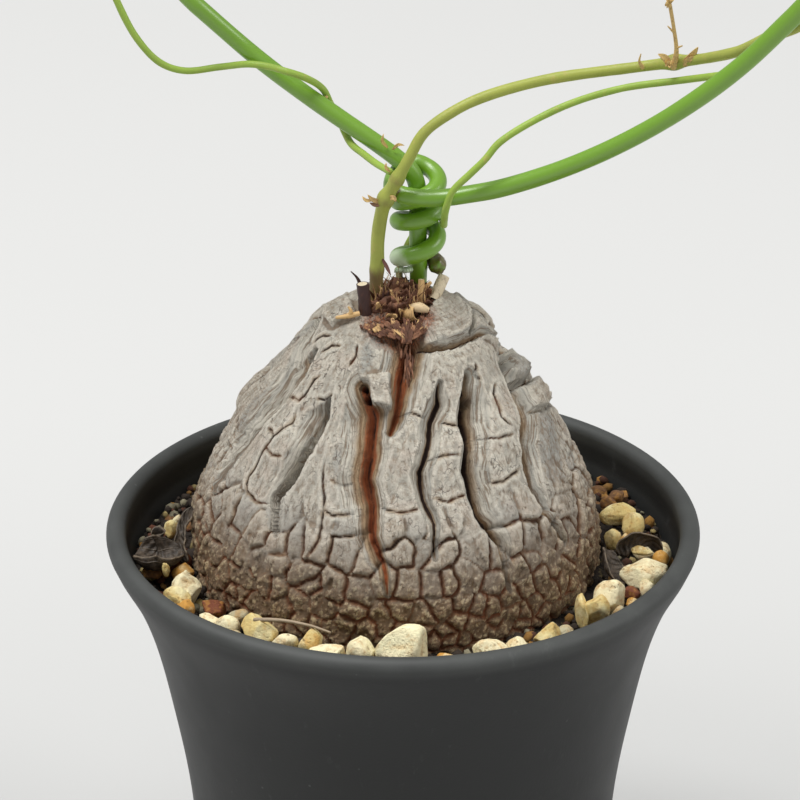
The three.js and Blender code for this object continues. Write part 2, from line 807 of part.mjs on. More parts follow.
function crownPocket() {
  return crownDrum(CROWN.radius + GAP, CROWN.floor, CROWN.reach);
}

function tuber(wireHole) {
  const blocks = joined(BLOCKS.map(block));
  const splits = joined([...SPLITS, ...backSplits()].map(splitWedge));
  return mainBody(plates().add(blocks).subtract(splits).subtract(crownPocket()).subtract(wireHole));
}

// Crown

// A round stick between two places, narrower at its tip when a taper is given
function stick(foot, tip, radius, sides, taper = 1) {
  const start = vector(foot);
  const along = vector(tip).sub(start);
  const geometry = new THREE.CylinderGeometry(radius * taper, radius, along.length(), sides);
  geometry.translate(0, along.length() / 2, 0);
  const up = new THREE.Vector3(0, 1, 0);
  geometry.applyQuaternion(new THREE.Quaternion().setFromUnitVectors(up, along.clone().normalize()));
  geometry.translate(start.x, start.y, start.z);
  return solidOf(geometry);
}

function fibres() {
  const next = draws(FIBRES.seed);
  const solids = [];
  const low = CROWN.floor + CROWN.taper;
  for (let index = 0; index < FIBRES.count; index += 1) {
    const angle = next() * 2 * Math.PI;
    const out = FIBRES.spread * Math.sqrt(next());
    const x = CROWN.x + out * Math.cos(angle);
    const y = CROWN.y + out * Math.sin(angle);
    const length = THREE.MathUtils.lerp(FIBRES.shortest, FIBRES.longest, next());
    const lean = FIBRE_LEAN * length;
    const tip = [x + lean * (next() - 0.5), y + lean * (next() - 0.5), CROWN.top - FIBRES.root + length];
    solids.push(stick([x, y, low], tip, FIBRES.root, 4, FIBRES.tip));
  }
  return solids;
}

function crown(holes) {
  const { radius, floor, top, bed, reach } = CROWN;
  const low = floor + GAP;
  const stubs = STUBS.map((stub) => stick(stub.foot, stub.tip, stub.radius, STUB_SIDES, STUB_TAPER));
  const whole = joined([crownDrum(bed + CROWN.taper, low, top - low), ...fibres(), ...stubs]);
  const space = crownDrum(radius, low, reach).add(crownDrum(2 * radius, top, reach));
  return mainBody(holes.reduce((left, hole) => left.subtract(hole), whole.intersect(space)));
}

// Support wire

// The ring's frame: a place along it in degrees, its way out from the middle, and its back
function ringPlace(degrees) {
  const turn = radians(RING_TURN);
  const angle = radians(degrees);
  const along = new THREE.Vector3(Math.cos(turn), -Math.sin(turn), 0);
  const back = new THREE.Vector3(Math.sin(turn), Math.cos(turn), 0);
  const out = along.clone().multiplyScalar(Math.cos(angle)).add(new THREE.Vector3(0, 0, Math.sin(angle)));
  const centre = new THREE.Vector3(...KNOT, RING.height).addScaledVector(along, RING.centre);
  return { point: centre.addScaledVector(out, RING.radius), out, back };
}

function windingPoints() {
  const points = [];
  const last = WINDING[WINDING.length - 1][0];
  for (let turn = 0; turn <= last; turn += WINDING_STEP) {
    const index = Math.max(1, WINDING.findIndex(([mark]) => mark >= turn));
    const [start, low, near] = WINDING[index - 1];
    const [end, high, far] = WINDING[index];
    const height = THREE.MathUtils.mapLinear(turn, start, end, low, high);
    const distance = THREE.MathUtils.mapLinear(turn, start, end, near, far);
    const angle = radians(turn);
    points.push([STAKE[0] + distance * Math.cos(angle), STAKE[1] + distance * Math.sin(angle), height]);
  }
  return points;
}

function wirePoints() {
  const winding = windingPoints().map(vector);
  const ring = [];
  for (let step = 0; step <= RING.steps; step += 1) {
    ring.push(ringPlace(THREE.MathUtils.lerp(RING.from, RING.to, step / RING.steps)).point);
  }
  const lastTurns = windingPoints().slice(-2);
  const right = smoothPoints([...lastTurns, ...RIGHT_ARM, ring[0].toArray()], ARM_STEP / 2);
  const left = smoothPoints([ring[ring.length - 1].toArray(), ...LEFT_ARM, STAKE_ROUTE[0]], ARM_STEP);
  return [...winding.slice(0, -2), ...right.slice(0, -1), ...ring, ...left.slice(1, -1), ...stakePoints()];
}

function stakePoints() {
  return smoothPoints(STAKE_ROUTE, ARM_STEP);
}

// The room that the wire needs where it passes other pieces
function wireHole() {
  const points = stakePoints();
  const [before, end] = points.slice(-2);
  points[points.length - 1] = end.clone().addScaledVector(end.clone().sub(before).normalize(), GAP);
  return tube(points, WIRE_RADIUS + WIRE_ROOM, WIRE_SIDES);
}

// Shoots

// A place on a shoot that winds on the ring, and the way from the wire to it
function twinedPlace(degrees, from, phase, radius) {
  const side = radians(phase - (Math.abs(degrees - from) / TWINE_TURN) * FULL_TURN);
  const { point, out, back } = ringPlace(degrees);
  const away = out.multiplyScalar(Math.cos(side)).addScaledVector(back, Math.sin(side));
  return { point: point.addScaledVector(away, WIRE_RADIUS + radius + WIRE_ROOM), away };
}

function twined(from, to, phase, radius) {
  const steps = Math.max(3, Math.round(Math.abs(to - from) / TWINE_STEP));
  const points = [];
  for (let step = 0; step <= steps; step += 1) {
    points.push(twinedPlace(THREE.MathUtils.lerp(from, to, step / steps), from, phase, radius).point);
  }
  return points;
}

function bud(place) {
  const geometry = new THREE.IcosahedronGeometry(BUD_RADIUS, 0);
  geometry.translate(...place);
  return solidOf(geometry);
}

function mainShoot() {
  const first = SPRAYS[0];
  const points = twined(CLIMB.from, first.from - SPRAY_BREAK, CLIMB.phase, MAIN_SHOOT_RADIUS);
  const climb = points.map((point) => point.toArray());
  const stem = tube(smoothPoints([...MAIN_SHOOT, ...climb], SHOOT_STEP), MAIN_SHOOT_RADIUS, SHOOT_SIDES);
  return joined([stem, ...BUD_PLACES.map(bud)]);
}

function sideShoot(route) {
  return tube(smoothPoints(route, SHOOT_STEP - 1), SIDE_SHOOT_RADIUS, SHOOT_SIDES);
}

// A thin blade from a rib and its two edges, alike on both faces
function blade(rows, thickness) {
  const corners = [];
  const triangles = [];
  const place = (point, face) => {
    corners.push(point.clone().setZ(point.z + (face * thickness) / 2));
    return corners.length - 1;
  };
  const upper = rows.map((row) => row.map((point) => place(point, 1)));
  const lower = rows.map((row) => row.map((point) => place(point, -1)));
  const quad = (one, two, three, four) => triangles.push([one, two, three], [one, three, four]);
  for (let row = 0; row < rows.length - 1; row += 1) {
    for (let side = 0; side < 2; side += 1) {
      quad(upper[row][side], upper[row][side + 1], upper[row + 1][side + 1], upper[row + 1][side]);
      quad(lower[row][side], lower[row + 1][side], lower[row + 1][side + 1], lower[row][side + 1]);
    }
    quad(upper[row][0], upper[row + 1][0], lower[row + 1][0], lower[row][0]);
    quad(upper[row][2], lower[row][2], lower[row + 1][2], upper[row + 1][2]);
  }
  const last = rows.length - 1;
  for (let side = 0; side < 2; side += 1) {
    quad(upper[0][side], lower[0][side], lower[0][side + 1], upper[0][side + 1]);
    quad(upper[last][side], upper[last][side + 1], lower[last][side + 1], lower[last][side]);
  }
  return { corners, triangles };
}

// Rows of a heart-shaped leaf along its rib: left edge, rib, right edge
function leafRows(length, curl) {
  return LEAF_RIB.map((rib, index) => {
    const [across, along] = LEAF_HALF[index];
    const droop = -curl * rib * rib * length;
    const lift = LEAF_FOLD * across * length;
    return [
      new THREE.Vector3(-across * length, along * length, droop + lift),
      new THREE.Vector3(0, rib * length, droop),
      new THREE.Vector3(across * length, along * length, droop + lift),
    ];
  });
}

function leafSolid(length, curl, thickness, frame) {
  const { corners, triangles } = blade(leafRows(length, curl), thickness);
  corners.forEach((corner) => corner.applyMatrix4(frame));
  return meshSolid(corners, triangles);
}

// A leaf on its stalk: the stalk leaves the shoot outwards, and the blade hangs from its end
function leafOnStalk(foot, away, out, next) {
  const down = new THREE.Vector3(0, 0, -1);
  const heading = away.clone().addScaledVector(out, 0.5).addScaledVector(down, -0.25).normalize();
  const tip = foot.clone().addScaledVector(heading, STALK_LENGTH);
  const length = THREE.MathUtils.lerp(...LEAF_LENGTHS, next());
  const along = heading.clone().addScaledVector(down, 0.7 + 0.3 * next()).normalize();
  const face = new THREE.Vector3(0.3 * (next() - 0.5), 0.3 * (next() - 0.5), 1).addScaledVector(heading, 0.8);
  const across = along.clone().cross(face).normalize();
  const front = across.clone().cross(along).normalize();
  const frame = new THREE.Matrix4().makeBasis(across, along, front).setPosition(tip);
  const end = tip.clone().addScaledVector(along, STALK_ROOT);
  const stalk = stick(foot.toArray(), end.toArray(), STALK_RADIUS, STALK_SIDES);
  return stalk.add(leafSolid(length, 0.12, LEAF_THICKNESS, frame));
}

function leafySpray({ from, to, phase, radius, seed }) {
  const next = draws(seed);
  const points = twined(from, to, phase, radius);
  const parts = [tube(points, radius, SHOOT_SIDES)];
  LEAF_SIDES.forEach((side) => {
    const turned = (((phase - side) % FULL_TURN) + FULL_TURN) % FULL_TURN;
    const degrees = from + Math.sign(to - from) * (turned / FULL_TURN) * TWINE_TURN;
    if (Math.abs(degrees - from) > Math.abs(to - from)) return;
    const { point, away } = twinedPlace(degrees, from, phase, radius);
    parts.push(leafOnStalk(point, away, ringPlace(degrees).out, next));
  });
  return joined(parts);
}

// Litter on the mix

function dryLeaf({ at, heading, length, curl }) {
  const frame = new THREE.Matrix4().makeRotationZ(radians(heading)).setPosition(vector(at));
  return leafSolid(length, curl, DRY_LEAF_THICKNESS, frame);
}

function dryStalk() {
  return tube(smoothPoints(DRY_STALK, DRY_STALK_STEP), DRY_STALK_RADIUS, SHOOT_SIDES);
}

// The part

const FINISHES = {
  plastic: { color: 0x3a3d3e, roughness: 0.62, metalness: 0 },
  stones: { color: 0xcdb489, roughness: 0.9, metalness: 0 },
  bark: { color: 0xa39a90, roughness: 0.85, metalness: 0 },
  fibre: { color: 0x5f3a26, roughness: 0.9, metalness: 0 },
  coating: { color: 0x6ea63f, roughness: 0.3, metalness: 0 },
  shoot: { color: 0x9fae55, roughness: 0.45, metalness: 0 },
  leaf: { color: 0x4f7a2c, roughness: 0.5, metalness: 0 },
  litter: { color: 0x4a3f36, roughness: 0.9, metalness: 0 },
};

const part = new THREE.Group();

function addNode(name, solid, finish) {
  const mesh = new THREE.Mesh(geometryOf(solid), new THREE.MeshStandardMaterial(FINISHES[finish]));
  mesh.name = name;
  part.add(mesh);
}

const hole = wireHole();
const shootHole = stick([-4.5, -0.9, 144.9], [-4.62, -1, 152], MAIN_SHOOT_RADIUS + WIRE_ROOM, WIRE_SIDES);
const thinHole = stick([-0.38, 3.3, 144.7], [-0.62, 7, 148.3], SIDE_SHOOT_RADIUS + 2 * GAP, WIRE_SIDES);

addNode("pot", pot(), "plastic");
addNode("growing_mix", growingMix(hole), "stones");
addNode("tuber", tuber(hole).subtract(thinHole), "bark");
addNode("crown", crown([hole, shootHole, thinHole]), "fibre");
addNode("support_wire", tube(wirePoints(), WIRE_RADIUS, WIRE_SIDES), "coating");
addNode("main_shoot", mainShoot(), "shoot");
addNode("left_shoot", sideShoot(LEFT_SHOOT), "shoot");
addNode("thin_shoot", sideShoot(THIN_SHOOT), "shoot");
SPRAYS.forEach((spray) => addNode(spray.name, leafySpray(spray), "leaf"));
DRY_LEAVES.forEach((leaf) => addNode(leaf.name, dryLeaf(leaf), "litter"));
addNode("dry_stalk", dryStalk(), "litter");

export default part;
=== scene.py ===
"""Looks of a potted tortoise plant: a corky tuber in a deep nursery pot of grit, with thin shoots
led up a ring of coated wire. Sizes in the code are millimetres, and each mesh is written in metres.
An azimuth is in degrees from the front (-Y) round towards +X.
"""

import itertools
import math

import bmesh
import bpy
import numpy as np
from bpy.props import FloatProperty, FloatVectorProperty, IntProperty, PointerProperty
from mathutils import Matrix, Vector


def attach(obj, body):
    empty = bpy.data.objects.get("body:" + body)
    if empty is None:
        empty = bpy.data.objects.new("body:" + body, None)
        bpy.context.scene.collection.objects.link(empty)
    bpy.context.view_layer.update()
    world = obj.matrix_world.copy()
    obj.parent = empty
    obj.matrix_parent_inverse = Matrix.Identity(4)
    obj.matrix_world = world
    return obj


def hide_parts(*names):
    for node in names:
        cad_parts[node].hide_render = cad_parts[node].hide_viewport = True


bl_info = {
    "name": "Potted Tortoise Plant",
    "version": (1, 0, 0),
    "blender": (4, 5, 0),
    "location": "View3D > Sidebar > Plant",
    "description": "Builds the finished surfaces of a potted tortoise plant round its solid model",
    "category": "Object",
}

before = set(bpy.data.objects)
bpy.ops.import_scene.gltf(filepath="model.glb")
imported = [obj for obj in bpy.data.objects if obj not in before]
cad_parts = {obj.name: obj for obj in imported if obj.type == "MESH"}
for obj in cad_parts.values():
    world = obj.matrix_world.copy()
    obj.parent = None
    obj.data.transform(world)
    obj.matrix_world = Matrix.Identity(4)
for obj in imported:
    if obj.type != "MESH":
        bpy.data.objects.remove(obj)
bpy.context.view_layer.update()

MM = 0.001
FAR = 1e9
FULL_TURN = 360.0
HALF_TURN = 180
GOLDEN = 0.618034
WIRE_RADIUS = 1.5


def shade(red, green, blue):
    """A colour given as it looks on a screen, 0 to 255, turned into the linear values of a shader."""

    def linear(value):
        share = value / 255
        return share / 12.92 if share <= 0.04045 else ((share + 0.055) / 1.055) ** 2.4

    return tuple(linear(value) for value in (red, green, blue))


def toned(colour, share):
    """A colour made darker or lighter, never past white."""
    return tuple(min(1, share * value) for value in colour)


def measure(name, description, default):
    return FloatProperty(name=name, description=description, default=default * MM, unit="LENGTH")


def linear_paint(name, where, default):
    return FloatVectorProperty(
        name=name, description="Colour " + where, default=default, subtype="COLOR", size=3, min=0, max=1
    )


def paint(name, where, *screen):
    return linear_paint(name, where, shade(*screen))


# Sizes and colours that a user would change


class PotSettings(bpy.types.PropertyGroup):
    wall: measure("Wall", "Thickness of the pot's wall", 1.7)
    floor: measure("Floor", "Thickness of the pot's floor", 2)
    lip_round: measure("Lip", "Radius of the rounded lip", 1.75)
    facets: IntProperty(name="Facets", description="Facets round the pot", default=160, min=24)
    plastic: paint("Plastic", "of the plastic", 24, 25, 25)
    # This colour paints the dust and scuffs, and also the painted sheen on the lip.
    dust_and_lip_sheen: paint("Dust", "of the dust and scuffs", 84, 86, 84)


class MixSettings(bpy.types.PropertyGroup):
    top: measure("Level", "Height of the grit under the top stones", 95.5)
    soil: paint("Soil", "of the fine grit between the stones", 48, 38, 30)
    cream: paint("Cream", "of the palest stones", 248, 235, 193)
    yellow: paint("Yellow", "of the yellow stones", 224, 200, 132)
    ochre: paint("Ochre", "of the orange stones", 206, 150, 66)
    rust: paint("Rust", "of the red-brown stones", 118, 62, 36)
    grey: paint("Grey", "of the grey pumice", 190, 182, 150)
    brown: paint("Brown", "of the pits and of the brown lumps", 112, 78, 46)


class BarkSettings(bpy.types.PropertyGroup):
    # Pale and grey are the bark's own colours, which the finish also spreads as painted highlight on raised
    # bark and painted shade in its hollows.
    pale: paint("Pale", "of the weathered slabs", 226, 219, 204)
    # The bleached colour paints the bleached fibres, and on the rims beside the cracks it is partly a painted
    # highlight.
    bleached: paint("Bleached", "of the rims beside the cracks", 236, 230, 216)
    rosy: paint("Rosy", "of the fresher patches", 200, 180, 164)
    grey: paint("Grey", "of the grey bark", 173, 167, 155)
    cool: paint("Cool", "of the smooth grey facets", 157, 158, 154)
    brown: paint("Brown", "of the bark near the grit", 138, 108, 76)
    nodule: paint("Nodule", "of the pale crumbs near the grit", 192, 170, 130)
    crack: paint("Crack", "of the thin cracks", 66, 48, 38)
    rust: paint("Rust", "inside the long splits", 172, 94, 48)
    tan: paint("Tan", "of the layered walls of the splits", 182, 156, 124)
    # The deep colour is painted shade at the bottoms of the splits; a darker share of it is painted shade in
    # the pits.
    deep: paint("Deep", "at the bottom of the splits", 50, 29, 19)


class CrownSettings(bpy.types.PropertyGroup):
    strands: IntProperty(name="Strands", description="Fibres in the crown", default=230, min=10)
    dark: paint("Dark", "of the oldest fibres", 94, 58, 40)
    red: paint("Red", "of the red-brown fibres", 150, 104, 76)
    tan: paint("Tan", "of the dry fibres", 216, 178, 122)
    stub: paint("Stub", "of the dark cut stub", 64, 40, 36)
    cut: paint("Cut face", "of the cut wood", 222, 206, 176)


class WireSettings(bpy.types.PropertyGroup):
    radius: measure("Radius", "Radius of the coated wire", WIRE_RADIUS)
    coating: paint("Coating", "of the coating", 118, 166, 34)
    worn: paint("Worn", "where the coating is stretched and worn", 204, 220, 190)
    stain: paint("Stain", "of the brown marks", 104, 92, 42)


class ShootSettings(bpy.types.PropertyGroup):
    main: measure("Main radius", "Radius of the main shoot", 1.15)
    side: measure("Side radius", "Radius of the thin shoots", 0.6)
    olive: paint("Olive", "of the main shoot", 172, 180, 84)
    green: paint("Green", "of the thin shoots", 158, 188, 78)
    bract: paint("Bract", "of the dried bracts", 204, 172, 112)
    bud: paint("Bud", "of the dry buds and the flower stalk", 112, 74, 66)


class LeafSettings(bpy.types.PropertyGroup):
    thickness: measure("Thickness", "Thickness of a leaf", 0.4)
    green: paint("Green", "of the blade", 88, 134, 52)
    vein: paint("Vein", "of the veins", 164, 192, 104)
    under: paint("Young", "of the youngest parts of the blade", 128, 166, 72)
    dry: paint("Dry", "of the fallen leaves", 86, 73, 60)
    dry_edge: paint("Dry edge", "along the edges of the fallen leaves", 158, 140, 116)


class StageSettings(bpy.types.PropertyGroup):
    floor: linear_paint("Floor", "of the plain floor", (0.56, 0.56, 0.55))
    sky: FloatProperty(name="Sky", description="Strength of the even light", default=0.42, min=0)
    key: FloatProperty(name="Key", description="Power of the large soft light", default=116, min=0)
    fill: FloatProperty(name="Fill", description="Power of the weak light from the right", default=31, min=0)


class PlantSettings(bpy.types.PropertyGroup):
    pot: PointerProperty(type=PotSettings)
    mix: PointerProperty(type=MixSettings)
    bark: PointerProperty(type=BarkSettings)
    crown: PointerProperty(type=CrownSettings)
    wire: PointerProperty(type=WireSettings)
    shoot: PointerProperty(type=ShootSettings)
    leaf: PointerProperty(type=LeafSettings)
    stage: PointerProperty(type=StageSettings)


# Shader maths


class Socket:
    """A value in a material. Arithmetic on it adds the nodes that work it out."""

    def __init__(self, shader, output):
        self.shader = shader
        self.output = output

    def __add__(self, other):
        return self.shader.maths("ADD", self, other)

    def __radd__(self, other):
        return self.shader.maths("ADD", other, self)

    def __sub__(self, other):
        return self.shader.maths("SUBTRACT", self, other)

    def __rsub__(self, other):
        return self.shader.maths("SUBTRACT", other, self)

    def __mul__(self, other):
        return self.shader.maths("MULTIPLY", self, other)

    def __rmul__(self, other):
        return self.shader.maths("MULTIPLY", other, self)


class Shader:
    """A material made of nodes, with one method that adds any node."""

    def __init__(self, name):
        self.material = bpy.data.materials.new(name)
        self.material.use_nodes = True
        self.tree = self.material.node_tree
        self.surface = self.tree.nodes["Principled BSDF"]

    def node(self, kind, settings=None, inputs=None, output=0):
        made = self.tree.nodes.new(kind)
        for name, value in (settings or {}).items():
            if name == "stops":
                self.set_stops(made.color_ramp, value)
            else:
                setattr(made, name, value)
        for name, value in (inputs or {}).items():
            self.feed(made.inputs[name], value)
        return Socket(self, made.outputs[output])

    def set_stops(self, ramp, stops):
        ramp.interpolation = "CONSTANT"
        while len(ramp.elements) < len(stops):
            ramp.elements.new(1)
        for element, (place, colour) in zip(ramp.elements, stops):
            element.position = place
            element.color = (*colour, 1)

    def feed(self, target, value):
        if isinstance(value, Socket):
            self.tree.links.new(value.output, target)
        elif hasattr(target.default_value, "__len__") and len(value) < len(target.default_value):
            target.default_value = (*value, 1)
        else:
            target.default_value = value

    def maths(self, operation, *values):
        return self.node("ShaderNodeMath", {"operation": operation}, dict(enumerate(values)))

    def least(self, one, other):
        return self.maths("MINIMUM", one, other)

    def most(self, one, other):
        return self.maths("MAXIMUM", one, other)

    def sine(self, value):
        return self.maths("SINE", value)

    def absolute(self, value):
        return self.maths("ABSOLUTE", value)

    def mask(self, value, low, high):
        """0 up to low, 1 from high on, and a smooth rise between them. It falls where low is above high."""
        settings = {"interpolation_type": "SMOOTHSTEP", "clamp": True}
        ends = {0: value, 1: min(low, high), 2: max(low, high)}
        rise = self.node("ShaderNodeMapRange", settings, ends)
        return 1 - rise if low > high else rise

    def mix(self, share, first, second):
        settings = {"data_type": "RGBA", "clamp_factor": True}
        colours = {0: share, 6: first, 7: second}
        return self.node("ShaderNodeMix", settings, colours, 2)

    def place(self, stretch=(1, 1, 1)):
        """The place on the object in millimetres, each axis multiplied by its stretch."""
        spot = self.node("ShaderNodeTexCoord", output="Object")
        factors = tuple(value / MM for value in stretch)
        return self.node("ShaderNodeVectorMath", {"operation": "MULTIPLY"}, {0: spot, 1: factors})

    def height(self):
        return self.node("ShaderNodeSeparateXYZ", inputs={0: self.place()}, output="Z")

    def noise(self, size, detail=3, stretch=(1, 1, 1), roughness=0.55):
        return self.noise_at(self.place(stretch), size, detail, roughness)

    def noise_at(self, spot, size, detail=3, roughness=0.55):
        inputs = {"Vector": spot, "Scale": 1 / size, "Detail": detail, "Roughness": roughness}
        return self.node("ShaderNodeTexNoise", {"noise_dimensions": "3D"}, inputs)

    def cells(self, size, stretch=(1, 1, 1)):
        inputs = {"Vector": self.place(stretch), "Scale": 1 / size}
        return self.node("ShaderNodeTexVoronoi", {"feature": "F1"}, inputs, "Distance")

    def value(self, name):
        """A value that the mesh holds at each corner."""
        settings = {"attribute_name": name, "attribute_type": "GEOMETRY"}
        return self.node("ShaderNodeAttribute", settings, output="Fac")

    def finish(self, colour, roughness, relief=None, distance=1.0, strength=1.0, uniform=None):
        self.feed(self.surface.inputs["Base Color"], colour)
        self.feed(self.surface.inputs["Roughness"], roughness)
        for name, value in (uniform or {}).items():
            self.surface.inputs[name].default_value = value
        if relief is not None:
            inputs = {"Height": relief, "Distance": distance * MM, "Strength": strength}
            self.feed(self.surface.inputs["Normal"], self.node("ShaderNodeBump", inputs=inputs))
        return self.material


# Seeded draws, noise and paths


def draws(seed):
    """Draws between 0 and 1, the same as those that place the solid model's repeats."""
    state = seed
    while True:
        state = (state * 1664525 + 1013904223) % 4294967296
        yield state / 4294967296


def blend(low, high, share):
    return low + (high - low) * share


def smooth(value, low, high):
    share = np.clip((value - low) / (high - low), 0, 1)
    return share * share * (3 - 2 * share)


def ridge(apart, width):
    """1 on a line, and less and less away from it."""
    return np.exp(-((apart / width) ** 2))


def wrapped(degrees):
    """An angle brought between half a turn back and half a turn on."""
    return (degrees + HALF_TURN) % FULL_TURN - HALF_TURN


def level_step(draw, ahead=0.5):
    """A short random step on the level."""
    return np.array([next(draw) - 0.5, next(draw) - ahead, 0])


def lattice(cells, seed):
    x, y, z = (cells[..., axis].astype(np.int64) for axis in range(3))
    mixed = (x * 73856093) ^ (y * 19349663) ^ (z * 83492791) ^ (seed * 2654435761)
    mixed &= 0xFFFFFFFF
    mixed = ((mixed ^ (mixed >> 13)) * 1274126177) & 0xFFFFFFFF
    return (mixed ^ (mixed >> 16)) / 0xFFFFFFFF


def rough(places, size, seed, octaves=1):
    """Smooth noise between -1 and 1 at some places, with features of the given size."""
    total = np.zeros(places.shape[:-1])
    for octave in range(octaves):
        scaled = places / (size / 2**octave)
        base = np.floor(scaled)
        part = scaled - base
        part = part * part * (3 - 2 * part)
        value = np.zeros(places.shape[:-1])
        for corner in itertools.product((0, 1), repeat=3):
            weight = np.prod(np.where(corner, part, 1 - part), axis=-1)
            value += weight * lattice(base + corner, seed + octave)
        total += (2 * value - 1) / 2**octave
    return total


CURVE_STEPS = 24
LEAST_GAP = 1e-4


def catmull(route, step):
    """Points at even steps along a smooth curve through a route (centripetal)."""
    points = np.array(route, float)
    ends = [2 * points[0] - points[1], *points, 2 * points[-1] - points[-2]]
    fine = []
    share = np.linspace(0, 1, CURVE_STEPS, endpoint=False)[:, None]
    for before, start, end, after in zip(ends, ends[1:], ends[2:], ends[3:]):
        steps = (start - before, end - start, after - end)
        gaps = [max(np.linalg.norm(way) ** 0.5, LEAST_GAP) for way in steps]
        leave = (start - before) / gaps[0] - (end - before) / (gaps[0] + gaps[1]) + (end - start) / gaps[1]
        enter = (end - start) / gaps[1] - (after - start) / (gaps[1] + gaps[2]) + (after - end) / gaps[2]
        leave, enter = leave * gaps[1], enter * gaps[1]
        fine.append(
            start
            + share * leave
            + share**2 * (3 * (end - start) - 2 * leave - enter)
            + share**3 * (2 * (start - end) + leave + enter)
        )
    fine = np.vstack([*fine, points[-1:]])
    return even(fine, step)


def way_along(points):
    """How far along a path each of its points is."""
    return np.concatenate([[0], np.cumsum(np.linalg.norm(np.diff(points, axis=0), axis=1))])


def even(points, step):
    """The same path with points at even steps."""
    run = way_along(points)
    count = max(2, round(run[-1] / step)) + 1
    marks = np.linspace(0, run[-1], count)
    return np.stack([np.interp(marks, run, points[:, axis]) for axis in range(3)], axis=1)


def graded(values, count):
    """A few values spread evenly over many places."""
    return np.interp(np.linspace(0, len(values) - 1, count), range(len(values)), values)


def unit(vectors):
    return vectors / np.linalg.norm(vectors, axis=-1, keepdims=True)


# Meshes


class Heap:
    """Corners and faces gathered from many small shapes, with named values at the corners."""

    def __init__(self, *names):
        self.corners = []
        self.faces = []
        self.values = {name: [] for name in names}
        self.count = 0

    def add(self, corners, faces, **values):
        for group in faces:
            self.faces.append(np.asarray(group) + self.count)
        self.corners.append(np.asarray(corners))
        for name, gathered in self.values.items():
            gathered.append(np.broadcast_to(values.get(name, 0.0), len(corners)))
        self.count += len(corners)

    def mesh(self, name, flat):
        mesh = bpy.data.meshes.new(name)
        corners = np.vstack(self.corners) * MM
        loops = np.concatenate([group.ravel() for group in self.faces])
        sizes = np.concatenate([np.full(len(group), group.shape[1]) for group in self.faces])
        mesh.vertices.add(len(corners))
        mesh.vertices.foreach_set("co", corners.astype(np.float32).ravel())
        mesh.loops.add(len(loops))
        mesh.loops.foreach_set("vertex_index", loops.astype(np.int32))
        mesh.polygons.add(len(sizes))
        mesh.polygons.foreach_set("loop_start", (np.cumsum(sizes) - sizes).astype(np.int32))
        mesh.update(calc_edges=True)
        mesh.validate()
        if not flat:
            mesh.shade_smooth()
        for key, gathered in self.values.items():
            attribute = mesh.attributes.new(key, "FLOAT", "POINT")
            attribute.data.foreach_set("value", np.concatenate(gathered).astype(np.float32))
        return mesh

    def piece(self, name, material, slot, *nodes, flat=False):
        """The gathered shapes as one object that rides on the body and stands for some nodes."""
        made = bpy.data.objects.new(name, self.mesh(name, flat))
        made.data.materials.append(material)
        bpy.context.scene.collection.objects.link(made)
        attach(made, "root")
        if nodes:
            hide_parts(*nodes)
        return made


def grid_faces(rows, columns, closed=True, turned=False):
    """Faces of a sheet of corners, listed row by row. A closed sheet joins its last column to its first."""
    row = np.arange(rows - 1)[:, None] * columns
    column = np.arange(columns if closed else columns - 1)[None, :]
    beside = (column + 1) % columns
    corners = [row + column, row + beside, row + columns + beside, row + columns + column]
    if turned:
        corners.reverse()
    shape = (rows - 1, column.shape[1])
    return np.stack([np.broadcast_to(corner, shape) for corner in corners], -1).reshape(-1, 4)


def closed_faces(rows, columns, turned=False):
    """Faces of a sheet that goes round, with one flat face over its first row and one over its last."""
    ring = np.arange(columns)[None, :]
    first, last = ring[:, ::-1], ring + (rows - 1) * columns
    if turned:
        first, last = ring, last[:, ::-1]
    return [grid_faces(rows, columns, turned=turned), first, last]


# How the end of a tube is rounded: the share of its radius, and how many radii further out
ROUND_END = ((0.8, 0.6), (0.45, 0.9))


def round_ends(points, radii, along):
    """A path, its radii and its ways ahead, with more places at each end that round it off."""
    start = [points[0] - along[0] * radii[0] * out for _, out in reversed(ROUND_END)]
    finish = [points[-1] + along[-1] * radii[-1] * out for _, out in ROUND_END]
    first = [radii[0] * share for share, _ in reversed(ROUND_END)]
    last = [radii[-1] * share for share, _ in ROUND_END]
    along = np.pad(along, ((len(ROUND_END), len(ROUND_END)), (0, 0)), "edge")
    return np.vstack([*start, points, *finish]), np.concatenate([first, radii, last]), along


def tube(points, radii, sides, ends=True):
    """Corners and faces of a round tube along a path, with rounded ends."""
    points = np.asarray(points, float)
    radii = np.broadcast_to(radii, len(points)).astype(float)
    along = unit(np.gradient(points, axis=0))
    if ends:
        points, radii, along = round_ends(points, radii, along)
    side = np.cross(along[0], (0, 0, 1) if abs(along[0][2]) < 0.9 else (1, 0, 0))
    rings = []
    angles = np.linspace(0, 2 * np.pi, sides, endpoint=False)
    for point, direction, radius in zip(points, along, radii):
        side = unit(side - direction * side.dot(direction))
        up = np.cross(direction, side)
        rings.append(point + radius * (np.cos(angles)[:, None] * side + np.sin(angles)[:, None] * up))
    return np.vstack(rings), closed_faces(len(points), sides)


def add_blade(heap, upper, lower, rows, columns, **values):
    """A closed thin sheet from its two faces, each listed row by row."""
    count = rows * columns
    rim = [row * columns for row in range(rows)]
    rim += [(rows - 1) * columns + column for column in range(1, columns)]
    rim += [row * columns + columns - 1 for row in range(rows - 2, -1, -1)]
    rim += list(range(columns - 2, 0, -1))
    rim = np.array(rim)
    after = np.roll(rim, -1)
    edge = np.stack([rim, after, after + count, rim + count], 1)
    faces = [
        grid_faces(rows, columns, closed=False),
        grid_faces(rows, columns, closed=False, turned=True) + count,
        edge,
    ]
    doubled = {name: np.tile(value, 2) if np.ndim(value) else value for name, value in values.items()}
    heap.add(np.vstack([upper, lower]), faces, **doubled)


SCALE_STEP = 0.3
SCALE_ACROSS = (-1, -0.5, 0, 0.5, 1)
SCALE_HOLLOW = 0.35


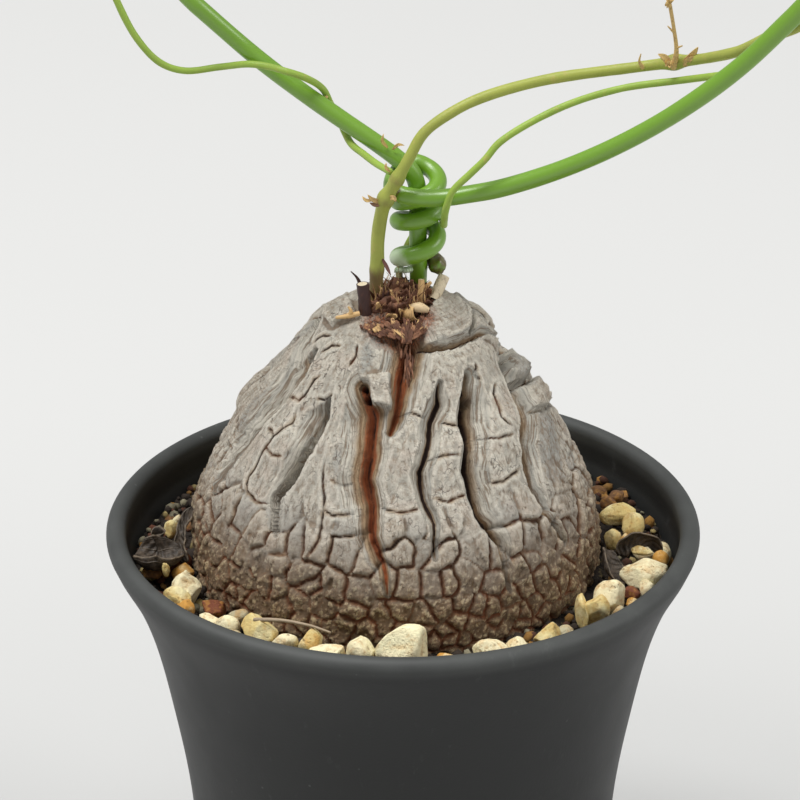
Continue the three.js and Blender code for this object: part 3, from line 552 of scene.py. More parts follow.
def add_scale(heap, path, half, thickness=0.16, tip=0.0, **values):
    """A thin dry scale along a path, hollowed across its width. A torn one keeps a wide tip."""
    points = catmull(path, SCALE_STEP)
    share = np.linspace(0, 1, len(points))
    outline = np.sin(np.pi * np.clip(0.12 + 0.86 * share, 0, 1)) ** 0.8
    torn = tip * (1 + 0.5 * rough(points, 0.6, 51, 2))
    width = half * np.maximum(outline, torn * (share > 0.5))
    along = np.gradient(points, axis=0)
    side = unit(np.cross(along, (0.2, -1, 0.3)))
    front = unit(np.cross(side, along))
    rows = []
    for across in SCALE_ACROSS:
        raised = front * (SCALE_HOLLOW * across**2 * width)[:, None]
        rows.append(points + side * (across * width)[:, None] + raised)
    upper = np.stack(rows, 1).reshape(-1, 3)
    lower = upper - np.repeat(front, len(SCALE_ACROSS), axis=0) * thickness
    add_blade(heap, upper, lower, len(points), len(SCALE_ACROSS), **values)


BALLS = {}


def ball(level):
    """Corners and triangles of a round ball of radius 1."""
    if level not in BALLS:
        shape = bmesh.new()
        bmesh.ops.create_icosphere(shape, subdivisions=level, radius=1)
        corners = np.array([corner.co[:] for corner in shape.verts])
        faces = np.array([[corner.index for corner in face.verts] for face in shape.faces])
        shape.free()
        BALLS[level] = (corners, faces)
    return BALLS[level]


def turn_matrix(yaw, pitch):
    """A turn about the upright axis after a tilt about X, both in radians."""
    c, s = math.cos(yaw), math.sin(yaw)
    about_z = np.array([[c, -s, 0], [s, c, 0], [0, 0, 1]])
    c, s = math.cos(pitch), math.sin(pitch)
    about_x = np.array([[1, 0, 0], [0, c, -s], [0, s, c]])
    return about_x @ about_z


def around(azimuth, distance, height):
    angle = math.radians(azimuth)
    return np.array([distance * math.sin(angle), -distance * math.cos(angle), height])


# Pot


POT_SIDE = [(35, 0), (37.8, 32), (39.3, 52), (41.6, 67), (44.9, 83), (47.9, 92), (51.4, 99)]
LIP_HEIGHT = 102
LIP_OUTSIDE = 52.5
LIP_START = -0.35
LIP_STEPS = 16
LIP_INSIDE = 3.5
FOOT_ROUND = 0.8
FOOT_EDGE = 0.2
POT_STEP = 1.2
SHARP_ANGLE = 50
DRAIN_COUNT = 6
DRAIN_SIDES = 32
DRAIN_RADIUS = 4
DRAIN_CIRCLE = 22


def pot_outside():
    side = catmull([(radius, 0, height) for radius, height in POT_SIDE], POT_STEP)[:, (0, 2)]
    foot = [(POT_SIDE[0][0] - FOOT_ROUND, 0), (POT_SIDE[0][0] - FOOT_EDGE, FOOT_EDGE)]
    return [*foot, *[tuple(point) for point in side if point[1] > FOOT_ROUND]]


def inner_radius(height, wall):
    """The pot's inside radius at a height."""
    side = [point for point in pot_outside() if point[1] > FOOT_ROUND]
    return np.interp(height, [level for _, level in side], [radius for radius, _ in side]) - wall


def pot_profile(pot):
    wall, floor, round_lip = (value / MM for value in (pot.wall, pot.floor, pot.lip_round))
    outside = pot_outside()
    middle = LIP_OUTSIDE - round_lip
    arc = [
        (middle + round_lip * math.cos(angle), LIP_HEIGHT + round_lip * math.sin(angle))
        for angle in np.linspace(LIP_START, math.pi, LIP_STEPS)
    ]
    low, high = floor + 1, LIP_HEIGHT - LIP_INSIDE
    inside = [(radius - wall, height) for radius, height in outside if low < height < high]
    foot = POT_SIDE[0][0] - wall
    corner = [(foot, floor + FOOT_ROUND), (foot - FOOT_ROUND, floor)]
    return [*outside, *arc, *reversed(inside), *corner], floor


def drained(body, floor):
    """Cuts the drain holes through the pot's floor."""
    for index in range(DRAIN_COUNT):
        angle = 2 * math.pi * index / DRAIN_COUNT
        place = Vector((DRAIN_CIRCLE * math.cos(angle), DRAIN_CIRCLE * math.sin(angle), floor / 2)) * MM
        bpy.ops.mesh.primitive_cylinder_add(
            vertices=DRAIN_SIDES, radius=DRAIN_RADIUS * MM, depth=4 * floor * MM, location=place
        )
        drill = bpy.context.object
        cut = body.modifiers.new("drain", "BOOLEAN")
        cut.object = drill
        cut.solver = "EXACT"
        bpy.context.view_layer.objects.active = body
        bpy.ops.object.modifier_apply(modifier=cut.name)
        bpy.data.objects.remove(drill)


def pot_finish(pot):
    skin = Shader("pot_plastic")
    height = skin.height()
    cloud = skin.noise(9, 4)
    scuff = skin.noise(2.2, 5, (1, 1, 0.35), 0.7)
    rub = skin.mask(scuff, 0.58, 0.76) * skin.mask(cloud, 0.42, 0.66)
    specks = skin.mask(skin.cells(3.4), 0.085, 0.05) * skin.mask(skin.noise(12, 2), 0.45, 0.62)
    # Painted sheen: the lip band is lightened by its height, partly for the dust and scuffs on it and partly
    # as a painted highlight on the rolled lip.
    lip = skin.mask(height, 99.6, 102.6)
    dust_and_lip_sheen = skin.least(rub * 0.34 + specks * 0.5 + cloud * 0.08 + lip * (0.25 + cloud * 0.5), 1)
    colour = skin.mix(dust_and_lip_sheen, pot.plastic, pot.dust_and_lip_sheen)
    roughness = 0.44 + cloud * 0.14 + dust_and_lip_sheen * 0.2
    grain = skin.noise(0.45, 2) * 0.6 + scuff * 0.4
    return skin.finish(colour, roughness, grain, 0.05, 0.6, {"Specular IOR Level": 0.4})


class BuildPot(bpy.types.Operator):
    """Build the deep plastic pot with its rolled lip and drain holes"""

    bl_idname = "plant.build_pot"
    bl_label = "Pot"

    def execute(self, context):
        pot = context.scene.tortoise_plant.pot
        profile, floor = pot_profile(pot)
        angles = np.linspace(0, 2 * np.pi, pot.facets, endpoint=False)
        rounds = np.stack([np.cos(angles), np.sin(angles), np.zeros(len(angles))], 1)
        rings = [radius * rounds + (0, 0, height) for radius, height in profile]
        shape = Heap()
        shape.add(np.vstack(rings), closed_faces(len(profile), pot.facets))
        body = shape.piece("pot_body", pot_finish(pot), "pot_plastic", "pot")
        drained(body, floor)
        body.data.shade_smooth()
        body.data.set_sharp_from_angle(angle=math.radians(SHARP_ANGLE))
        return {"FINISHED"}


# Grit mix and stones


MIX_EDGE_GAP = 0.3
STONE_SEED = 7
STONES_PER_RING = (26, 25)
STONE_RINGS = (40.6, 44.2)
STONE_SIZE = (2.2, 3.5)
STONE_LENGTH = (1, 1.3)
STONE_WIDTH = (0.8, 1.1)
STONE_THICKNESS = (0.72, 0.92)
STONE_SINK = (0.2, 0.7)
STONE_SPREAD = 0.6
STONE_SPACE = 1.6
STONE_OVERLAP = 0.6
STONE_SHAPE_SEED = 300
STONE_FLATS = 9
STONE_FLAT_DEPTH = (0.55, 0.9)
STONE_BREAK = 0.94
STONE_OFFSET = (3.7, 1.3)
STONE_SWELL = (0.1, 0.8, 3, 1)
STONE_DENTS = (0.045, 0.42, 8, 3)
DRAWS_PER_SOLID_STONE = 5
CREAM, YELLOW, OCHRE, RUST, GREY, BROWN = 0.1, 0.3, 0.5, 0.7, 0.9, 0.98
RING_TINTS = (CREAM, YELLOW, GREY, OCHRE, CREAM, RUST)

# Beside the tuber, between these turns from the front, the stones lie deep in the dark mix
SUNK_STONES = (102, 136)
SUNK_BY = 1.6
SUNK_SIZE = 0.55

# Stones that show round the front: azimuth, distance out, height, half sizes, heading and tint
FRONT_STONES = [
    (0, 41, 100.4, (4.9, 3.4, 4.2), 12, CREAM),
    (-10, 41, 98.6, (2.3, 2.4, 3), 5, CREAM),
    (-17.5, 41.8, 98.2, (3.4, 2.2, 2.4), -8, CREAM),
    (-22.5, 40, 98.4, (2.1, 2, 2.6), 20, YELLOW),
    (-29, 41.2, 97.9, (2.4, 2.2, 2.5), 10, CREAM),
    (-36.8, 40.6, 98.5, (3.3, 2.8, 3.3), -25, YELLOW),
    (-40.5, 43.6, 97.4, (1.5, 1.3, 1.3), 0, GREY),
    (-44.5, 42.2, 98, (2.1, 1.8, 2.1), -30, CREAM),
    (-45.5, 39, 98.3, (1.7, 1.4, 1.4), 10, GREY),
    (-50, 43.2, 97.6, (2.1, 1.5, 1.4), -30, CREAM),
    (-53, 40.4, 98.1, (2.7, 1.9, 1.8), -15, RUST),
    (-57, 44.4, 98, (1.7, 1.9, 1.9), 0, OCHRE),
    (-61, 44.4, 98.4, (2.8, 2, 2.2), -40, YELLOW),
    (-63.5, 41.4, 98.9, (2.8, 2.7, 2.9), 0, CREAM),
    (-73, 40, 98.3, (2, 1.9, 2.1), 20, OCHRE),
    (-71.5, 40.4, 97.9, (1.6, 1.5, 1.5), 50, CREAM),
    (-75.5, 45.4, 98, (1.8, 1.4, 1.4), 10, BROWN),
    (-70.6, 43.6, 100.6, (0.7, 0.5, 1.5), 20, YELLOW),
    (-94.5, 41.7, 99, (1.6, 1.5, 1.6), 60, YELLOW),
    (-100, 41.2, 99, (0.9, 0.8, 0.9), 0, CREAM),
    (10, 41.6, 97.7, (1.8, 1.8, 1.8), 0, OCHRE),
    (13.5, 42.6, 97.3, (1.1, 1.1, 1.1), 0, CREAM),
    (20.3, 41.8, 98, (3.3, 2.2, 2.5), 8, CREAM),
    (27, 41.8, 97.8, (2, 1.9, 2), 20, CREAM),
    (35.8, 41.8, 98, (2.7, 2.1, 2.5), 38, YELLOW),
    (41, 41.4, 97.3, (1.7, 1.4, 1.3), 30, GREY),
    (49, 40.2, 98.8, (0.9, 2.4, 3.3), 12, YELLOW),
    (51.5, 41.8, 98.8, (2.3, 2.2, 3), 30, YELLOW),
    (57.8, 41.8, 99.1, (3, 2.9, 3.2), 60, CREAM),
    (55.5, 44.8, 97.8, (1.7, 1.5, 1.4), 30, GREY),
    (60.5, 45, 98, (1.1, 1, 1), 0, OCHRE),
    (64, 43.8, 98.2, (1.5, 1.4, 1.5), 0, RUST),
    (67, 46, 98.4, (1.9, 1.8, 1.9), 40, CREAM),
    (71.5, 44, 99.3, (4.5, 2.9, 2.4), 24, CREAM),
    (78.5, 45.9, 99.4, (1.6, 1.6, 1.8), 0, OCHRE),
    (81, 42.4, 100, (2.1, 0.9, 0.8), -15, YELLOW),
    (91, 37.4, 98.9, (1.5, 1.6, 2.2), 10, YELLOW),
    (91.5, 39.8, 98.3, (1, 1, 1), 0, OCHRE),
    (96, 41.4, 99.2, (2.4, 2, 2.3), 60, YELLOW),
    (101.5, 39.9, 99.7, (3.8, 1.8, 1.9), 22, YELLOW),
    (105, 38.6, 101, (1.6, 1.3, 1.3), 0, BROWN),
    (107, 40.6, 101.2, (1.8, 1.3, 1.2), 30, BROWN),
    (110, 42.4, 100, (1.5, 1.3, 1.3), 60, BROWN),
]
FINE_STONE = 2.6

CLOD_SEED = 21
CLOD_COUNT = 1300
CLOD_SIZE = (0.45, 1.5)
CLOD_SHAPE = ((0.8, 1.3), (0.7, 1.1), (0.6, 1))
CLOD_INNER = 35.5
CLOD_EDGE_GAP = 0.6
CLOD_RISE = (-0.2, 0.9)

# The bed of the mix: how many columns and rings, its inner edge, and how its top rises and falls
BED_COLUMNS = 300
BED_SIDE_RINGS = 20
BED_TOP_RINGS = 34
BED_TOP_START = 0.4
BED_INNER = 31
BED_UNEVEN = (0.55, 2.6, 4, 3)
BED_SUNK = 0.4
BED_SWELL = 0.5
BED_SWELL_OUT = (40, 34)

# Where the solid model's stones stand round the front: azimuth, distance out and radius
SOLID_STONES = [
    (0, 40.8, 4.3),
    (-10, 40.8, 3.6),
    (-19, 41.6, 3.4),
    (-37, 40.9, 3.3),
    (-62, 42.6, 3.6),
    (21, 41.4, 3.4),
    (50, 41.6, 3.5),
    (61, 42.2, 3.6),
    (73, 42.8, 3.8),
    (104, 41.6, 3.4),
]


def front_stones():
    return [(around(azimuth, out, height), sizes, math.radians(turn), 0.0, tint)
            for azimuth, out, height, sizes, turn, tint in FRONT_STONES]


def ring_stones(top):
    """The stones that the solid model sows round the tuber, where no front stone stands."""
    draw = draws(STONE_SEED)
    fixed = [(*around(azimuth, out, 0)[:2], radius) for azimuth, out, radius in SOLID_STONES]
    for _ in range(DRAWS_PER_SOLID_STONE * len(fixed)):
        next(draw)
    shown = [(place[:2], max(sizes[:2])) for place, sizes, *_ in front_stones()]
    found = []
    for ring, count in zip(STONE_RINGS, STONES_PER_RING):
        for index in range(count):
            azimuth = (index + STONE_SPREAD * next(draw)) / count * FULL_TURN
            radius = blend(*STONE_SIZE, next(draw))
            out = ring + next(draw) - 0.5
            place = around(azimuth, out, top + radius * blend(*STONE_SINK, next(draw)))
            if any(math.dist(place[:2], (x, y)) <= size + STONE_SPACE for x, y, size in fixed):
                continue
            ranges = (STONE_LENGTH, STONE_WIDTH, STONE_THICKNESS)
            sizes = tuple(radius * blend(*limits, next(draw)) for limits in ranges)
            yaw = next(draw) * 2 * math.pi
            pitch = next(draw) - 0.5
            if any(math.dist(place[:2], at) < size + STONE_OVERLAP * radius for at, size in shown):
                continue
            tint = RING_TINTS[len(found) % len(RING_TINTS)]
            if SUNK_STONES[0] < abs(wrapped(azimuth)) < SUNK_STONES[1]:
                place = place - (0, 0, SUNK_BY)
                sizes = tuple(SUNK_SIZE * size for size in sizes)
                tint = BROWN
            found.append((place, sizes, yaw, pitch, tint))
    return found


def add_stone(heap, place, sizes, yaw, pitch, tint, seed):
    """A worn stone: a ball with some flats broken off it and a pitted, uneven surface."""
    corners, faces = ball(4 if max(sizes) > FINE_STONE else 3)
    draw = draws(STONE_SHAPE_SEED + seed)
    shaped = corners.copy()
    for _ in range(STONE_FLATS):
        way = unit(np.array([next(draw) - 0.5, next(draw) - 0.5, next(draw) - 0.5]))
        over = np.clip(shaped @ way - blend(*STONE_FLAT_DEPTH, next(draw)), 0, None)
        shaped -= STONE_BREAK * over[:, None] * way
    spots = corners + np.array([seed * STONE_OFFSET[0], seed * STONE_OFFSET[1], 0.0])
    dents = rough(spots, *STONE_DENTS[1:])
    uneven = 1.06 + STONE_SWELL[0] * rough(spots, *STONE_SWELL[1:]) + STONE_DENTS[0] * dents
    turned = (shaped * uneven[:, None] * np.array(sizes)) @ turn_matrix(yaw, pitch).T + place
    heap.add(turned, [faces], tint=tint, tone=(seed * 0.618) % 1, dent=dents)


def clods(heap, mix_top, wall):
    """Fine grit: small angular lumps strewn over the mix, seeded."""
    draw = draws(CLOD_SEED)
    corners, faces = ball(1)
    edge = inner_radius(mix_top, wall) - CLOD_EDGE_GAP
    for _ in range(CLOD_COUNT):
        azimuth = next(draw) * FULL_TURN
        out = blend(CLOD_INNER, edge, next(draw) ** 0.8)
        size = blend(*CLOD_SIZE, next(draw) ** 2.2)
        sizes = size * np.array([blend(*limits, next(draw)) for limits in CLOD_SHAPE])
        height = mix_top + blend(*CLOD_RISE, next(draw))
        shaped = (corners * sizes) @ turn_matrix(next(draw) * 6, next(draw) * 3).T
        heap.add(shaped + around(azimuth, out, height), [faces], tint=next(draw), tone=next(draw))


def bed(mix, wall, floor):
    """The body of the mix: its uneven top, and its sides and base against the pot."""
    top = mix.top / MM
    azimuths = np.linspace(0, 2 * np.pi, BED_COLUMNS, endpoint=False)
    levels = np.linspace(floor + MIX_EDGE_GAP, top, BED_SIDE_RINGS)
    profile = [(inner_radius(height, wall) - MIX_EDGE_GAP, height) for height in levels]
    outs = np.linspace(profile[-1][0] - BED_TOP_START, BED_INNER, BED_TOP_RINGS)
    rings = []
    for out, height in [*profile, *[(out, top) for out in outs]]:
        level = np.full(BED_COLUMNS, float(height))
        ring = np.stack([out * np.cos(azimuths), out * np.sin(azimuths), level], 1)
        if height == top:
            uneven = BED_UNEVEN[0] * rough(ring, *BED_UNEVEN[1:])
            ring[:, 2] += uneven - BED_SUNK + BED_SWELL * smooth(out, *BED_SWELL_OUT)
        rings.append(ring)
    return np.vstack(rings), closed_faces(len(rings), BED_COLUMNS)


def soil_finish(mix):
    skin = Shader("soil")
    lumps = skin.noise(0.7, 4)
    crumb = skin.cells(0.9)
    pale = skin.mask(skin.noise(1.6, 4, roughness=0.7), 0.56, 0.72)
    colour = skin.mix(lumps, toned(mix.soil, 0.45), mix.soil)
    colour = skin.mix(pale * 0.5, colour, toned(mix.yellow, 0.45))
    return skin.finish(colour, 0.95, lumps + crumb * 0.6, 0.5)


def grain_finish(mix):
    skin = Shader("fine_grit")
    tint, tone = skin.value("tint"), skin.value("tone")
    stops = [(0, mix.soil), (0.5, mix.rust), (0.62, mix.ochre), (0.74, mix.grey), (0.88, mix.yellow)]
    base = skin.node("ShaderNodeValToRGB", {"stops": stops}, {"Fac": tint})
    lumps = skin.noise(0.5, 3)
    dark = skin.least(0.35 + tone * 0.25 + lumps * 0.3, 1)
    return skin.finish(skin.mix(dark, base, mix.soil), 0.92, lumps, 0.2)


def stone_finish(mix):
    skin = Shader("stones")
    tint, tone, dent = skin.value("tint"), skin.value("tone"), skin.value("dent")
    stops = [(0, mix.cream), (0.2, mix.yellow), (0.4, mix.ochre), (0.6, mix.rust), (0.8, mix.grey),
             (0.95, mix.brown)]
    base = skin.node("ShaderNodeValToRGB", {"stops": stops}, {"Fac": tint})
    cloud = skin.noise(3.2, 4)
    pores = skin.noise(0.5, 4, roughness=0.75)
    stain = skin.mask(skin.noise(1.7, 5, roughness=0.7) + tone * 0.08, 0.52, 0.7)
    chalky = skin.mix(skin.mask(cloud, 0.45, 0.66) * 0.55, base, toned(mix.cream, 1.15))
    chalky = skin.mix(skin.mask(tint, 0.5, 0.6), chalky, base)
    warm = skin.mix(stain * 0.45, chalky, mix.ochre)
    warm = skin.mix(skin.mask(dent + (pores - 0.5) * 2, -0.1, -0.8) * 0.4, warm, mix.ochre)
    shaded = skin.mix(tone * 0.05, warm, mix.rust)
    pit = skin.mask(pores + dent * 0.06, 0.4, 0.26)
    colour = skin.mix(pit * 0.6, shaded, mix.brown)
    relief = skin.noise(0.9, 4, roughness=0.7) * 0.7 + pores * 0.8 - pit * 0.5
    return skin.finish(colour, 0.62 + cloud * 0.22, relief, 0.4)


class BuildMix(bpy.types.Operator):
    """Build the grit mix: its bed, the fine grit and the stones on top"""

    bl_idname = "plant.build_mix"
    bl_label = "Grit and stones"

    def execute(self, context):
        plant = context.scene.tortoise_plant
        mix, wall, floor = plant.mix, plant.pot.wall / MM, plant.pot.floor / MM
        top = mix.top / MM
        body = Heap()
        corners, faces = bed(mix, wall, floor)
        body.add(corners, faces)
        body.piece("grit_bed", soil_finish(mix), "grit", "growing_mix")
        fine = Heap("tint", "tone")
        clods(fine, top, wall)
        fine.piece("fine_grit", grain_finish(mix), "grit", flat=True)
        stones = Heap("tint", "tone", "dent")
        for index, stone in enumerate([*front_stones(), *ring_stones(top)]):
            add_stone(stones, *stone, seed=index)
        stones.piece("top_stones", stone_finish(mix), "grit")
        return {"FINISHED"}


# Tuber


TUBER_X = -1.4

# The skin as (radius, height) from the crown to the hidden root end
TUBER_SIDE = [
    (6.2, 145.3), (9.7, 144), (13.5, 141), (17, 137), (20.7, 132), (25.2, 127), (27.8, 122),
    (32.2, 114), (35, 107), (36.2, 100), (35.9, 94), (33, 88), (26, 82), (14, 77),
]
FINE_BOTTOM = 92.5
FINE_STEP = 0.34
FRONT_REACH = 106
FRONT_COLUMN = 0.53
BACK_COLUMN = 1.6
COARSE_ROWS = 9
GROOVE_TOP = 158

# Long splits. A line runs down from the top as (azimuth, height). Left and right are the reach of
# the walls, and head and tail are the shares of the full width at the two ends of the line
SPLITS = [
    {"line": [(4, 145.2), (6, 143.8), (12, 142), (8, 140.4), (4, 137.5), (1.5, 133.6), (-2, 130.6)],
     "left": 5.4, "right": 5.0, "depth": 4.4, "rust": 0.95, "head": 0.7, "tail": 0.25},
    {"line": [(-18, 136.4), (-11, 132.9), (-10, 128.4), (-11, 123.8), (-8, 120.2), (-7, 115.6),
              (-3, 110.8), (-2, 106.5)],
     "left": 5.6, "right": 3.4, "depth": 4.4, "rust": 0.9, "head": 0.5, "tail": 0.1},
    {"line": [(47, 136.6), (42, 134), (36, 131), (33, 128), (29, 124), (29, 117.4), (33, 112.6), (33, 104.5)],
     "left": 2.2, "right": 4.2, "depth": 4.8, "rust": 0.42, "head": 0.5, "tail": 0.15},
    {"line": [(79, 134.6), (76, 132), (71, 129), (58, 125), (53, 118.3), (54, 112.4), (58, 107.5)],
     "left": 1.9, "right": 3.4, "depth": 4, "rust": 0.5, "head": 0.6, "tail": 0.25},
    {"line": [(-34, 133.6), (-35, 126.9), (-39, 121.5), (-42, 118.2), (-38, 113.5)],
     "left": 4.2, "right": 1.2, "depth": 4.2, "rust": 0.3, "head": 0.2, "tail": 0.2},
    {"line": [(-84, 140), (-66, 136.4), (-64, 132), (-66, 126), (-70, 120.6), (-72, 113.8)],
     "left": 5.4, "right": 1.4, "depth": 4.4, "rust": 0.35, "head": 0.7, "tail": 0.3},
    {"line": [(27, 136.6), (24.5, 133.8), (18, 131.8), (10, 124.9), (10, 120.9), (13, 117.2), (12, 112)],
     "left": 2.4, "right": 1.9, "depth": 2.8, "rust": 0.3, "head": 0.3, "tail": 0.25},
    {"line": [(12, 141.8), (27, 141.3), (46, 140.7), (65, 140.4), (82, 139.4), (104, 135)],
     "left": 0.4, "right": 1.9, "depth": 2.2, "rust": 0.5, "head": 0.9, "tail": 0.5},
    {"line": [(114, 142.6), (88, 141.9), (74, 141)],
     "left": 0.7, "right": 0.7, "depth": 3.2, "rust": 0.3, "head": 0.9, "tail": 0.7, "steep": True},
    {"line": [(77, 134.4), (92, 133.3), (114, 132.4)],
     "left": 1.6, "right": 1.2, "depth": 4.2, "rust": 0.3, "head": 0.5, "tail": 1.0, "steep": True},
    {"line": [(76, 132.2), (85, 130.4), (110, 127.2)],
     "left": 1.1, "right": 0.6, "depth": 2.6, "rust": 0.3, "head": 0.8, "tail": 0.7, "steep": True},
    {"line": [(71, 127.8), (84, 125.6), (100, 123)],
     "left": 0.4, "right": 0.7, "depth": 1.7, "rust": 0.4, "head": 0.8, "tail": 0.5},
    {"line": [(-36, 133.2), (-37.2, 126.9), (-41.2, 121.5), (-44.2, 118.2), (-40, 113.5)],
     "left": 0.8, "right": 0.8, "depth": 4.2, "rust": 0.3, "head": 0.4, "tail": 0.5, "steep": True},
    {"line": [(-62, 138.8), (-59.5, 135.4), (-60.5, 131)],
     "left": 1.1, "right": 0.9, "depth": 3, "rust": 0.3, "head": 0.8, "tail": 0.2, "steep": True},
    {"line": [(-104, 141), (-84, 140), (-70, 138.4)],
     "left": 1.3, "right": 1.2, "depth": 3.6, "rust": 0.4, "head": 1.0, "tail": 0.6, "steep": True},
]
BACK_SEED = 12
BACK_SPLITS = {"from": 108, "to": 252, "count": 6, "top": 138, "bottom": 108, "width": 2.8, "depth": 4.2}

# Where along a split its width is given: its head, its widest part, its middle and its tail
SPLIT_SHARES = (0, 0.12, 0.5, 1)
SPLIT_SEED = 90
SEAM_MARGIN = 0.6

# The middle of the brown fibrous patch at the head of the front split, and its reach
SPLIT_HEAD = (4, 144.8)
UMBER_REACH = (7.2, 4.6)

# Hollows painted dark as shade: azimuth, height, reach and depth
PITS = [(-18.6, 136.6, 0.85, 2.4), (-15.6, 134.9, 1.0, 2.6), (41.5, 133.4, 1.2, 3.2), (37.5, 131.6, 0.9, 2.4),
        (78, 131.2, 0.9, 2.0)]

# Thin cracks that show on the slabs, as (azimuth, height)
CRACKS = [
    [(0, 133), (4, 132.7), (8.3, 133.1), (13, 132.4), (17.8, 132.6)],
    [(20, 131.4), (29, 130.7), (38, 131.2)],
    [(65, 133.6), (61, 133.4), (56, 132.6), (54, 130.8), (51.4, 129.5), (53, 128.4), (56.5, 127.6)],
    [(-62, 131.2), (-57, 131.9), (-51, 131.9), (-49, 134), (-48, 135.5), (-44, 136.8)],
    [(-43, 133.3), (-38, 133.4), (-33, 134.6)],
    [(-51, 131.6), (-48, 129.1), (-53, 126.6), (-56, 123.4), (-58, 119), (-54, 115)],
    [(-71, 139), (-64, 140.9), (-55, 141.7)],
    [(-56, 138.8), (-50, 140.4), (-41, 141.1)],
    [(-27, 126.6), (-26, 122.8), (-24, 120), (-23, 114.1), (-27, 109.6)],
    [(-15, 123), (-19, 122.5), (-24, 123.4)],
    [(-12.5, 118.8), (-20, 118.1), (-25, 119)],
    [(-60, 127), (-56, 126.9), (-52, 126.1)],
    [(11.5, 121.4), (18, 120.2), (27, 121)],
    [(-60, 119), (-55, 117), (-50, 116.4), (-42, 117.6)],
    [(36, 128.8), (45, 127.4), (54, 127)],
    [(33, 121.8), (41, 121.1), (51, 122)],
    [(-30, 141.9), (-27, 140.2), (-30, 138.6)],
    [(-56, 124.6), (-50, 123.8), (-45, 124.4)],
    [(57, 137.6), (52, 136.2), (54, 134.8)],
    [(11, 126.4), (19, 127.1), (28, 126.7)],
    [(-6.4, 120), (2, 119.2), (10, 119.9)],
]

CRACK_DEPTH = 0.42
CRACK_WIDTH = 0.16
CRACK_PILLOW = 0.04

# Facets of greyer, smoother bark as (azimuth, height)
FACETS = [
    [(71.4, 127.9), (90, 124), (70, 116), (60, 117), (62, 122)],
    [(-18, 144), (-26, 141), (-21, 137.5), (-14, 139)],
    [(-13, 130), (-22, 134), (-24, 126), (-17, 118), (-12, 119)],
    [(110, 133.5), (80, 134.3), (78, 130), (108, 126)],
    [(-78, 139.5), (-66, 134), (-70, 120), (-80, 124)],
]

# Bark blocks that stand out: rise over the skin and corners as (azimuth, height). One that rises more
# than the overhang closes the split under it
OVERHANG = 1.6
BLOCKS = [
    (1.7, [(-16.8, 137.8), (-3, 138.6), (-0.5, 133.6), (-11.5, 133.9), (-14, 136)]),
    (1.3, [(25, 144), (25, 141.6), (46, 141.2), (67, 141), (84, 141.8), (112, 142.8), (84, 145.2),
           (50, 145)]),
    (1.0, [(112, 142), (84, 141.4), (75, 140.6), (81, 138.4), (86, 135.6), (112, 134)]),
    (-0.9, [(112, 136.6), (84, 137), (80, 134.6), (94, 133.2), (116, 132.3)]),
    (1.5, [(80, 134.1), (94, 132.9), (116, 132), (112, 127.6), (84, 131)]),
    (0.9, [(78, 131.2), (112, 127), (100, 123.6), (73, 127.6)]),
    (0.5, [(-96, 120), (-76, 120), (-69, 131), (-76, 137.4), (-100, 138.6)]),
    (1.4, [(-100, 142.2), (-60, 142.4), (-48, 144.6), (-84, 145)]),
]

# Plates between the cracks: width and height of a plate at some heights
PLATE_SIZES = {"height": (96, 101, 107, 114, 122, 130, 145), "wide": (2.8, 3.2, 3.9, 4.6, 6, 6, 6),
               "tall": (2.5, 3, 3.9, 5, 8, 13, 13)}
CRACK_DEPTHS = {"height": (95, 101, 107, 112, 118, 126, 140),
                "depth": (0.22, 0.3, 0.42, 0.52, 0.66, 0.75, 0.75)}
PLATE_SEED = 31
CRUMB_SEED = 83
CRUMB_SCALE = 0.3
CRUMB_TOP = 132
SKIN_SUNK = 0.35
TOP_RUN = (-0.2, 1.2)
CAVITY_REACH = 3
SKIN_STEP = 0.1
WIRE_NEAR = (-4, 9)
RIM_PLACE = (0.7, 0.24)
RIM_RISE = 0.08
SHOULDER = (0.4, 2.4)
CRUMB_LINE = 0.12
PLATE_JITTER = 0.43
LEAST_ROUND = 4
WIRE_GROOVE = 1.9
GROOVE_PASSES = 4

# How far the lines of the bark wander: size of the wander, seeds, and the reach of each kind of line
WANDER_SIZE = 1.8
WANDER_SEEDS = (61, 62, 63)
BEND = 0.4
GENTLE_BEND = 0.16
PLATE_BEND = 0.3
PLATE_BEND_SIZE = 1.5
PLATE_BEND_SEEDS = (71, 75)

# Heights, and turns from the front, between which one kind of bark gives way to another
LOW_BARK = (122, 106)
SIDE_TURNS = (58, 74)
SIDE_HEIGHTS = (131, 122)
PLATED_HEIGHTS = (121, 115)
PLATED_TURNS = (88, 100)
STEPPED_HEIGHTS = (102, 110)
CRUMB_HEIGHTS = (116, 103)
BURIED_HEIGHTS = (80, 92)

# The steps that shape the bark, in this order
SHEET_STEPS = ("add_unevenness", "add_splits", "add_cracks", "add_plates", "add_crumbs", "add_rims",
               "add_blocks", "add_pits")

# Unevenness of the bark: its height, the size of its features, seed and octaves
SLOW_WAVES = (0.45, 9, 5, 2)
CREASES = (0.13, 1.5, 15, 3)
LOW_ROUGHNESS = (0.2, 1.1, 25, 3)


def dense_side():
    """The skin as many radii and heights, and the way down it from the top."""
    side = catmull([(radius, 0, height) for radius, height in TUBER_SIDE], SKIN_STEP)[:, (0, 2)]
    return side[:, 0], side[:, 1], way_along(side)


SIDE_RADIUS, SIDE_HEIGHT, SIDE_RUN = dense_side()


def run_at(height):
    return np.interp(-np.asarray(height, float), -SIDE_HEIGHT, SIDE_RUN)


def radius_at(run):
    return np.interp(run, SIDE_RUN, SIDE_RADIUS)


def height_at(run):
    return np.interp(run, SIDE_RUN, SIDE_HEIGHT)


